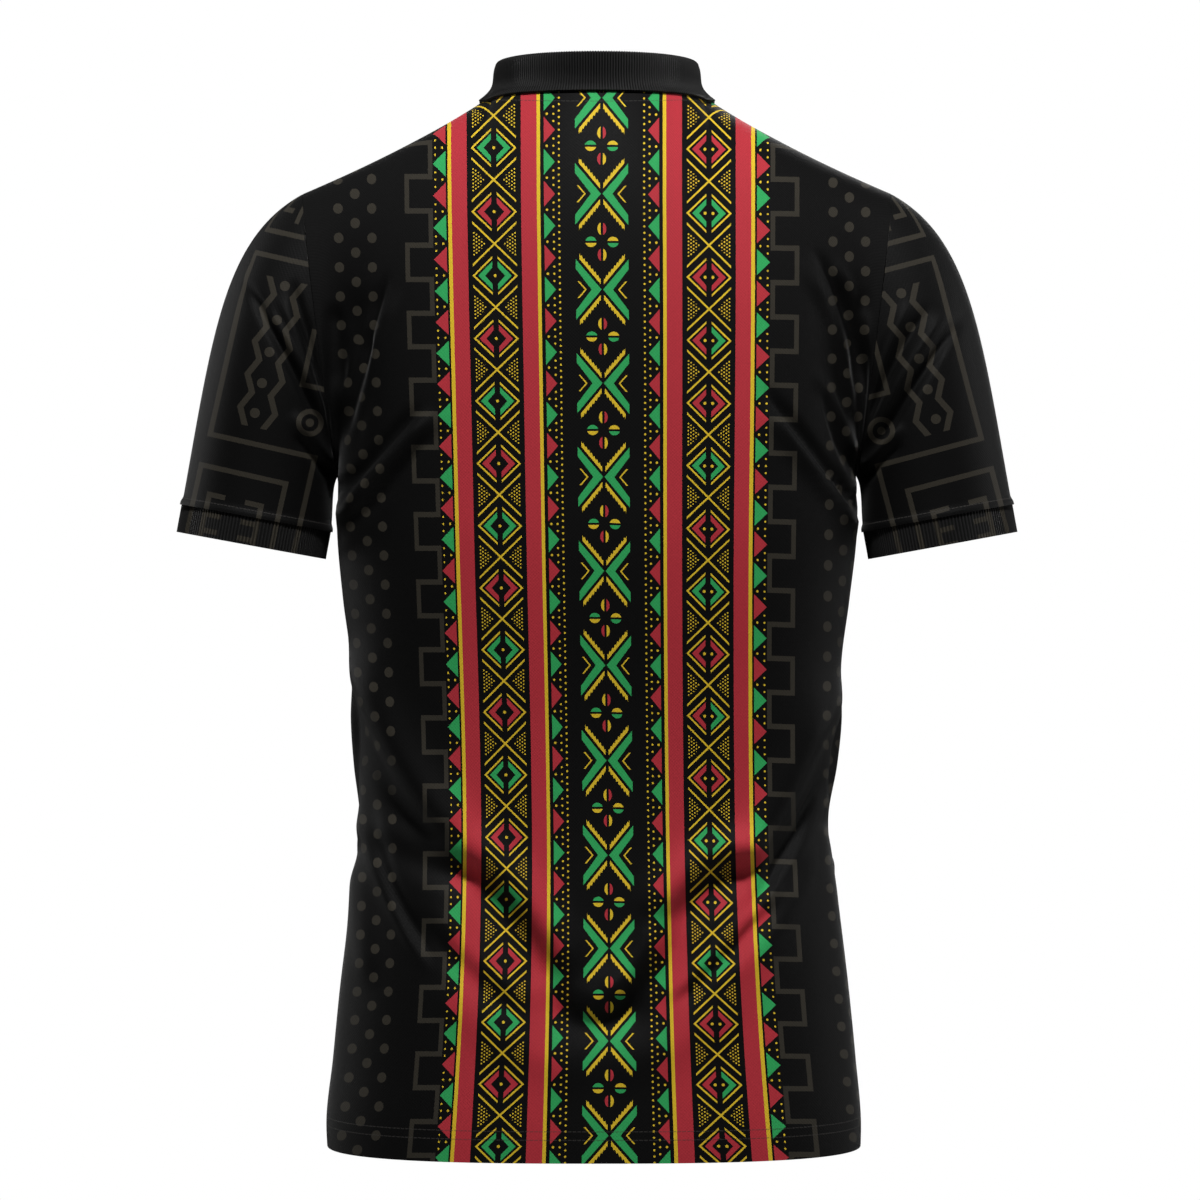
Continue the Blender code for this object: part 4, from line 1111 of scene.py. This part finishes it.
def stripPiece(name, offset):
    # Placket strip: a patch of the front round its centre line, moved out along its normals.
    distances = np.linspace(-placket["halfWidth"], placket["halfWidth"], placket["columns"])
    t = np.linspace(placket["start"], placket["end"], placket["rows"])
    columns = [upperLine(front, right if d < 0 else left, abs(d), abs(d), t) for d in distances]
    points = np.stack(columns, axis=1)
    points[..., 1] -= cloth["seamGap"] / 2
    normals = gridNormals(points)
    if normals[0, placket["columns"] // 2, 1] > 0:
        normals = -normals
    points = points + normals * offset
    along = lengthsAlong(points)
    across = np.broadcast_to(distances, along.shape)
    maps = {"print": np.stack([across, chart["placketFoot"] - along], axis=-1),
            "cloth": np.stack([across, along], axis=-1)}
    return clothWall(name, points, points - normals * cloth["strip"], maps)


placketTop = stripPiece("placket_top_cloth", cloth["seamGap"] + cloth["strip"])
placketUnder = stripPiece("placket_under_cloth", -cloth["pique"] - cloth["seamGap"] * 2)
print("stage: placket")

# The body's print, in real sizes. Heights run from the middle of a cross of the centre column.
cross = {"outerTip": 0.0005, "innerTip": 0.0071, "armEnd": 0.0175, "outerSlope": 1.15, "innerSlope": 1.28,
         "sawStart": 0.0011, "sawEnd": 0.0150, "sawHeight": 0.0047, "sawSlope": 1.163, "sawHalf": 0.0013,
         "tooth": 0.0018, "toothHeight": 0.0016, "sideTip": 0.0110, "sideSlope": 0.9, "sideReach": 0.0054,
         "sideHalf": 0.0006}
flower = {"sideAt": 0.0073, "sideWidth": 0.0037, "sideHeight": 0.0033, "sideBar": 0.0007,
          "endAt": 0.0083, "endWidth": 0.0029, "endHeight": 0.0040, "endBar": 0.0008}
beads = {"fineAt": 0.0281, "fineSteps": 15, "fineRadius": 0.0007, "tripleAt": 0.0317, "triplePitch": 0.0046,
         "triple": 3, "singleAt": 0.0360, "radius": 0.0008, "outerSingleAt": 0.1055,
         "outerTripleAt": 0.1108}
teeth = {"steps": 3, "innerApex": 0.0307, "innerBase": 0.0380, "outerBase": 0.1030, "outerApex": 0.1125,
         "halfHeight": 0.0083, "innerRise": 0.6}
stripes = {"yellow": ((0.0404, 0.0427), (0.0989, 0.1016)), "red": ((0.0427, 0.0531), (0.0886, 0.0989))}
diamond = {"centre": 0.0709, "step": 2 / 3, "phase": 0.0114, "halfWidth": 0.0142, "bar": 0.0018,
           "slope": 0.937, "line": 0.0008, "outerTip": 0.0111, "outerSlope": 0.98, "innerTip": 0.0066,
           "innerSlope": 1.09, "dot": 0.0010, "dotsApart": 0.0026, "saltireSlope": 0.933,
           "saltireReach": 0.0146, "grainPitch": 0.0017, "grainRow": 0.0023, "grainRadius": 0.00054,
           "grainTip": 0.0050, "grainSlope": 0.92, "halved": 2, "halvedEvery": 6}
battlement = {"outer": 0.1320, "inner": 0.1145, "step": 5 / 7, "line": 0.0017}
spots = {"first": 0.158, "pitch": 0.0115, "step": 15 / 49, "radius": 0.0033, "columns": 3}
# Dyes, in the order of printing, and the sewing thread.
dyes = {"brown": "#302d27", "green": "#2f9a56", "red": "#a83039", "yellow": "#cfaf2c", "thread": "#3c3a38"}


def triangleRow(across, height, apex, base):
    # A row of triangles along the print, each pointing from its base to its apex.
    share = (across - apex) * (1 / (base - apex))
    inside = across.within(min(apex, base), max(apex, base))
    return inside & (abs(height) < share * teeth["halfHeight"])


def oval(across, along, width, height):
    # Whether a place lies in an oval of this half width and half height.
    return (across * (1 / width)).apart(along * (1 / height)) < 1.0


def crossMasks(u, x, v):
    # The centre column: crosses of two chevrons, saw-toothed lines, and a flower between crosses.
    step = chart["step"]
    y = abs(v.fromStep(step))
    green = (y < (u - cross["outerTip"]) * cross["outerSlope"]) & (u < cross["armEnd"])
    green = green & (y > (u - cross["innerTip"]) * cross["innerSlope"])
    saw = y - (u - cross["sawStart"]) * cross["sawSlope"] - cross["sawHeight"]
    tooth = u.apply("PINGPONG", cross["tooth"] / 2) * (cross["toothHeight"] / cross["tooth"] * 2)
    yellow = (saw > -cross["sawHalf"]) & (saw < tooth + cross["sawHalf"])
    yellow = yellow & u.within(cross["sawStart"], cross["sawEnd"])
    side = (u - y * cross["sideSlope"]).near(cross["sideTip"], cross["sideHalf"])
    yellow = yellow | (side & (y < cross["sideReach"]))
    beyond = (v + step / 2).fromStep(step)
    height = abs(beyond)
    turned = (x * beyond) > 0.0
    sides = oval(u - flower["sideAt"], height, flower["sideWidth"], flower["sideHeight"])
    sides = sides & (height > flower["sideBar"])
    ends = oval(u, height - flower["endAt"], flower["endWidth"], flower["endHeight"])
    ends = ends & (u > flower["endBar"])
    green = green | (sides & ~turned)
    yellow = yellow | (sides & turned) | (ends & ~turned)
    return green, ends & turned, yellow


def beadMasks(u, v, tripleAt, singleAt):
    # Two columns of small dots between the triangles of a row.
    pitch = chart["step"] / teeth["steps"]
    height = (v + pitch / 2).fromStep(pitch)
    rest = height.fromStep(beads["triplePitch"])
    inner = abs(height - rest) < beads["triplePitch"] * beads["triple"] / 2
    triple = (u - tripleAt).apart(rest) < beads["fineRadius"]
    single = (u - singleAt).apart(height) < beads["radius"]
    return (triple & inner) | single


def diamondMasks(u, isLeft, v):
    # The band of diamonds between the red stripes, with a dotted saltire between diamonds.
    x = abs(u - diamond["centre"])
    step = chart["step"] * diamond["step"]
    place = v - diamond["phase"]
    y = abs(place.fromStep(step))
    odd = place.oddStep(step)
    thick = (y < (x * -1.0 + diamond["outerTip"]) * diamond["outerSlope"]) & (x > diamond["bar"])
    thick = thick & (y > (x * -1.0 + diamond["innerTip"]) * diamond["innerSlope"])
    outline = (y + x * diamond["slope"]).near(diamond["halfWidth"] * diamond["slope"], diamond["line"])
    outline = outline & (x > diamond["bar"])
    beyond = abs((place + step / 2).fromStep(step))
    saltire = (beyond - x * diamond["saltireSlope"]).near(0.0, diamond["line"])
    column = x - x.fromStep(diamond["grainPitch"])
    shifted = x.oddStep(diamond["grainPitch"]) * (diamond["grainRow"] / 2)
    grain = x.fromStep(diamond["grainPitch"]).apart((beyond + shifted).fromStep(diamond["grainRow"]))
    grain = grain < diamond["grainRadius"]
    grain = grain & (beyond < (column - diamond["grainTip"]) * diamond["grainSlope"])
    centred = (x - ~isLeft * diamond["dotsApart"]).apart(y) < diamond["dot"]
    yellow = outline | ((saltire | grain) & (x < diamond["saltireReach"])) | centred
    isRed = (~odd).same(isLeft)
    # On the right one diamond in six has its half beside the centre red and its other half green.
    halved = abs((place - step * diamond["halved"]).fromStep(step * diamond["halvedEvery"])) < step / 2
    isRed = isRed | (halved & ~isLeft & (u < diamond["centre"]))
    return thick & ~isRed, thick & isRed, yellow


def brownMasks(u, v, beyond):
    # The battlement line, and offset columns of spots beyond it as far as the side seam.
    step = chart["step"] * battlement["step"]
    past = abs(v.fromStep(step)) - step / 4
    line = battlement["line"]
    outer = u.near(battlement["outer"], line) & (past < line)
    inner = u.near(battlement["inner"], line) & (past > -line)
    level = abs(past).apply("LESS_THAN", line) & u.within(battlement["inner"], battlement["outer"])
    pitch = chart["step"] * spots["step"]
    along = u - spots["first"]
    sideways = along.fromStep(spots["pitch"])
    height = (beyond + pitch / 2 - along.oddStep(spots["pitch"]) * (pitch / 2)).fromStep(pitch)
    dots = sideways.apart(height) < spots["radius"]
    dots = dots & along.within(-spots["pitch"] / 2, spots["pitch"] * (spots["columns"] - 0.5))
    return outer | inner | level | dots


def bodyPrint(tree, colour):
    # Colour of the body cloth: the ground with the brown, green, red and yellow print over it.
    x, down = mapPlaces(tree, "print")
    u = abs(x)
    isLeft = x > 0.0
    v = down - chart["step"]
    atBand, atTeeth = (v + rise for rise in mapPlaces(tree, "innerRise"))
    atLine, atSpots = (v + rise for rise in mapPlaces(tree, "outerRise"))
    atInner = v + (atBand - v) * teeth["innerRise"]
    pitch = chart["step"] / teeth["steps"]
    innerRow = triangleRow(u, atInner.fromStep(pitch), teeth["innerApex"], teeth["innerBase"])
    outerRow = triangleRow(u, atTeeth.fromStep(pitch), teeth["outerApex"], teeth["outerBase"])
    innerOdd = atInner.oddStep(pitch)
    outerOdd = atTeeth.oddStep(pitch).same(isLeft)
    crossGreen, crossRed, crossYellow = crossMasks(u, x, v)
    bandGreen, bandRed, bandYellow = diamondMasks(u, isLeft, atBand)
    green = (innerRow & innerOdd) | (outerRow & outerOdd) | crossGreen | bandGreen
    red = (innerRow & ~innerOdd) | (outerRow & ~outerOdd) | crossRed | bandRed
    yellow = crossYellow | bandYellow | beadMasks(u, atInner, beads["tripleAt"], beads["singleAt"])
    yellow = yellow | beadMasks(u, atTeeth, beads["outerTripleAt"], beads["outerSingleAt"])
    finePitch = chart["step"] / beads["fineSteps"]
    yellow = yellow | ((u - beads["fineAt"]).apart(atInner.fromStep(finePitch)) < beads["fineRadius"])
    for redStripe, yellowStripe in zip(stripes["red"], stripes["yellow"]):
        red = red | u.within(*redStripe)
        yellow = yellow | u.within(*yellowStripe)
    for name, mask in zip(dyes, (brownMasks(u, atLine, atSpots), green, red, yellow)):
        colour = addNode(tree, "MixRGB", mask.socket, colour, linear(dyes[name]))
    return colour


def sleevePrintColour(tree, colour):
    # Colour of the sleeve cloth: brown lines, dots, a comb and a ring on the ground.
    u, v = mapPlaces(tree, "print")
    ring = (u - sleeveMarks["ring"][0]).apart(v - sleeveMarks["ring"][1])
    marks = ring.near(sleeveMarks["ringRadius"], sleeveMarks["half"]) | (ring < sleeveMarks["ringDot"])
    marks = marks | zigzagMask(u, v)
    for bar in sleeveBars:
        marks = marks | (u.within(bar.u0, bar.u1) & v.within(bar.v0, bar.v1))
    for across, down in sleeveDots:
        marks = marks | ((u - across).apart(v - down) < sleeveMarks["dot"])
    return addNode(tree, "MixRGB", marks.socket, colour, linear(dyes["brown"]))


# The sleeve's print in its own places: u runs from the outer side towards the body, v down. The
# bars are in millimetres.
sleeveMarks = {"half": 0.0017, "dot": 0.0033, "ring": (0.0624, 0.1007), "ringRadius": 0.0074,
               "ringDot": 0.0027, "zigzag": 0.0110, "zigzagTop": 0.0124, "zigzagEnd": 0.1117,
               "zigzagLine": 0.0022, "zigzagSlope": 0.5, "zigzagOuter": 0.0153, "zigzagInner": 0.0389}
Bar = namedtuple("Bar", "u0 u1 v0 v1")
sleeveBars = inMetres(
    Bar,
    (-1.7, 120, -2.4, 1),
    (-1.7, 1.7, -2.4, 124.1),
    (-1.7, 70.4, 120.7, 124.1),
    (69, 72.4, 120.7, 230),
    (-3, 57.4, 141.7, 145.1),
    (-3, 0.4, 141.7, 230),
    (54, 57.4, 141.7, 230),
    (6.5, 9.9, 159.5, 190.5),
    (8.2, 18.9, 159.5, 162.9),
    (8.2, 18.9, 172.5, 175.9),
    (8.2, 18.9, 183.2, 186.6),
    (41.5, 44.9, 159.5, 190.5),
    (32.2, 43.2, 159.5, 162.9),
    (32.2, 43.2, 172.5, 175.9),
    (32.2, 43.2, 183.2, 186.6),
    (50.3, 53.7, 40, 79),
    (50.3, 67.1, 75.6, 79),
    (-2.2, 32.2, -18.8, -15.4),
    (-2.2, 1.2, -70, -15.4),
    (6.2, 17.2, -34.6, -31.2),
    (6.2, 9.6, -70, -31.2),
    (22.2, 25.6, -70, -25),
)
sleeveDots = ((0.0266, 0.0166), (0.0264, 0.0396), (0.0262, 0.0612), (0.0259, 0.0822), (0.0257, 0.1024))


def zigzagMask(u, v):
    # Two upright zigzags that mirror each other about the column of dots.
    low, high = sleeveMarks["zigzagTop"], sleeveMarks["zigzagEnd"]
    swing = (v - low).apply("PINGPONG", sleeveMarks["zigzag"]) * sleeveMarks["zigzagSlope"]
    first = (u - swing).near(sleeveMarks["zigzagOuter"], sleeveMarks["zigzagLine"])
    second = (u + swing).near(sleeveMarks["zigzagInner"], sleeveMarks["zigzagLine"])
    return (first | second) & v.within(low, high)


# Sewn lines, by the map and its axis (0 across, 1 up) that place them and their distance on it.
Stitch = namedtuple("Stitch", "map axis place")
bodyStitches = (Stitch("cloth", 1, 0.0150), Stitch("cloth", 1, 0.0205), Stitch("seams", 0, 0.0082))
sleeveStitches = (Stitch("cloth", 1, 0.0045),)
placketStitches = (Stitch("cloth", 0, 0.0155), Stitch("cloth", 1, 0.0020), Stitch("cloth", 1, 0.0215))
# The thread is drawn twice as thick as it is, and the loops at twice their pitch of 1.1 mm, because
# finer ones would fall between the picture's points.
thread = {"half": 0.0003, "pitch": 0.0030, "length": 0.0024, "height": 2.0, "cover": 0.55}
# The loops' shade is how much lighter their tops and darker their hollows are painted: painted highlight
# and painted shade.
loops = {"pitch": 0.0022, "relief": 0.00004, "shade": 0.06}
nap = {"size": 0.0014, "detail": 2.0, "shade": 0.30, "roughness": 0.25}
wash = {"size": 0.060, "shade": 0.10}


def knitMaterial(name, colouring, finish, stitches=(), rib=None):
    # Cotton knit: printed colours, loops or ribs, a fine uneven nap, sewn lines and a soft sheen. The
    # loops and ribs are painted lighter on top and darker in their hollows: painted highlight and shade.
    made = bpy.data.materials.new(name)
    made.use_nodes = True
    tree = made.node_tree
    shader = tree.nodes["Principled BSDF"]
    surface = addNode(tree, "UVMap", uv_map="cloth")
    across, up = mapPlaces(tree, "cloth")
    fine = addNode(tree, "TexNoise", surface, inputs={"Scale": 1 / nap["size"], "Detail": nap["detail"]})
    broad = addNode(tree, "TexNoise", surface, inputs={"Scale": 1 / wash["size"]})
    uneven = Field(tree, fine) - 0.5
    shade = uneven * nap["shade"] + (Field(tree, broad) - 0.5) * wash["shade"] + 1.0
    if rib:
        relief = (across * (2 * math.pi / rib["pitch"])).apply("COSINE") * rib["phase"]
        # The ribs' colour is painted lighter on their crests and darker in their grooves: painted highlight
        # and painted shade.
        shade = shade + relief * rib["shade"]
    else:
        waves = [(place * (2 * math.pi / loops["pitch"])).apply("SINE") for place in (across, up)]
        relief = waves[0] * waves[1]
        # The loops' colour is painted lighter where they rise and darker between them: painted highlight
        # and painted shade.
        shade = shade + relief * loops["shade"]
    relief = relief + uneven
    colour = linear(finish["ground"])
    if colouring:
        colour = colouring(tree, colour)
    colour = addNode(tree, "MixRGB", 1.0, colour, shade.socket, blend_type="MULTIPLY")
    for stitch in stitches:
        off = abs(mapPlaces(tree, stitch.map)[stitch.axis])
        along = up if stitch.map == "cloth" and stitch.axis == 0 else across
        mark = abs(along.fromStep(thread["pitch"])) < thread["length"] / 2
        mark = mark & off.near(stitch.place, thread["half"])
        colour = addNode(tree, "MixRGB", (mark * thread["cover"]).socket, colour, linear(dyes["thread"]))
        relief = relief + mark * thread["height"]
    tree.links.new(colour, shader.inputs["Base Color"])
    rough = uneven * nap["roughness"] + finish["roughness"]
    tree.links.new(rough.socket, shader.inputs["Roughness"])
    bump = addNode(tree, "Bump", inputs={"Distance": loops["relief"], "Height": relief.socket})
    tree.links.new(bump, shader.inputs["Normal"])
    for socket in ("Specular IOR Level", "Sheen Weight", "Sheen Roughness"):
        shader.inputs[socket].default_value = finish[socket]
    return made


# Reactive-printed cotton: almost matt, with a faint glow where the nap is seen edge on. The rib's
# yarn is thicker, and its ground is painted a little lighter for the light it catches: painted light.
sheen = {"Specular IOR Level": 0.08, "Sheen Weight": 0.04, "Sheen Roughness": 0.3}
knit = {**sheen, "ground": "#090909", "roughness": 0.65}
ribbed = {**sheen, "ground": "#181818", "roughness": 0.65, "Specular IOR Level": 0.07}
# Shade is how much lighter the ribs' crests and darker their grooves are painted, as painted highlight and
# painted shade; phase puts the crests where the wales rise.
cuffRibs = {"pitch": ribKnit["pitch"], "phase": 1.0, "shade": 0.5}
collarRibs = {"pitch": collar["ribPitch"], "phase": -1.0, "shade": 0.9}
bodyKnit = knitMaterial("printed_pique_knit", bodyPrint, knit, bodyStitches)
placketKnit = knitMaterial("printed_placket_knit", bodyPrint, knit, placketStitches)
sleeveKnit = knitMaterial("printed_sleeve_knit", sleevePrintColour, knit, sleeveStitches)
cuffKnit = knitMaterial("printed_rib_knit", sleevePrintColour, ribbed, rib=cuffRibs)
ribFinish = knitMaterial("black_rib_knit", None, ribbed, rib=collarRibs)
reverse = knitMaterial("knit_wrong_side", None, knit)

# Polished polyester resin of the buttons: a small sharp gleam, faintly clouded.
resin = {"dark": "#08080a", "light": "#16151a", "cloud": 0.004, "roughness": 0.22}
buttonResin = cloudedMaterial("clouded_button_resin", resin)[0]
for number in (1, 2, 3):
    for held in bpy.data.objects["button_" + str(number)].material_slots:
        held.material = buttonResin
print("stage: materials")

# Each piece with the node that it stands for, its slot, its finish, and its flat width, length and area.
Cut = namedtuple("Cut", "node piece slot finish width length area")
cuts = (
    Cut("back", backPiece, "pique", bodyKnit, 0.481, 0.744, 0.3076),
    Cut("front", frontPiece, "pique", bodyKnit, 0.482, 0.742, 0.3022),
    Cut("sleeve_left", sleeves["left"][0], "pique", sleeveKnit, 0.464, 0.229, 0.046),
    Cut("sleeve_right", sleeves["right"][0], "pique", sleeveKnit, 0.464, 0.229, 0.046),
    Cut("cuff_left", sleeves["left"][1], "rib", cuffKnit, 0.321, 0.0195, 0.00626),
    Cut("cuff_right", sleeves["right"][1], "rib", cuffKnit, 0.321, 0.0195, 0.00626),
    Cut("collar", collarMade, "rib", ribFinish, 0.515, 0.104, 0.0275),
    Cut("placket_top", placketTop, "pique", placketKnit, 0.035, 0.168, 0.0057),
    Cut("placket_under", placketUnder, "pique", placketKnit, 0.035, 0.168, 0.0056),
)
for cut in cuts:
    cut.piece.data.materials.append(cut.finish)
    cut.piece.data.materials.append(reverse)
    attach(cut.piece, "root")
    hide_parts(cut.node)
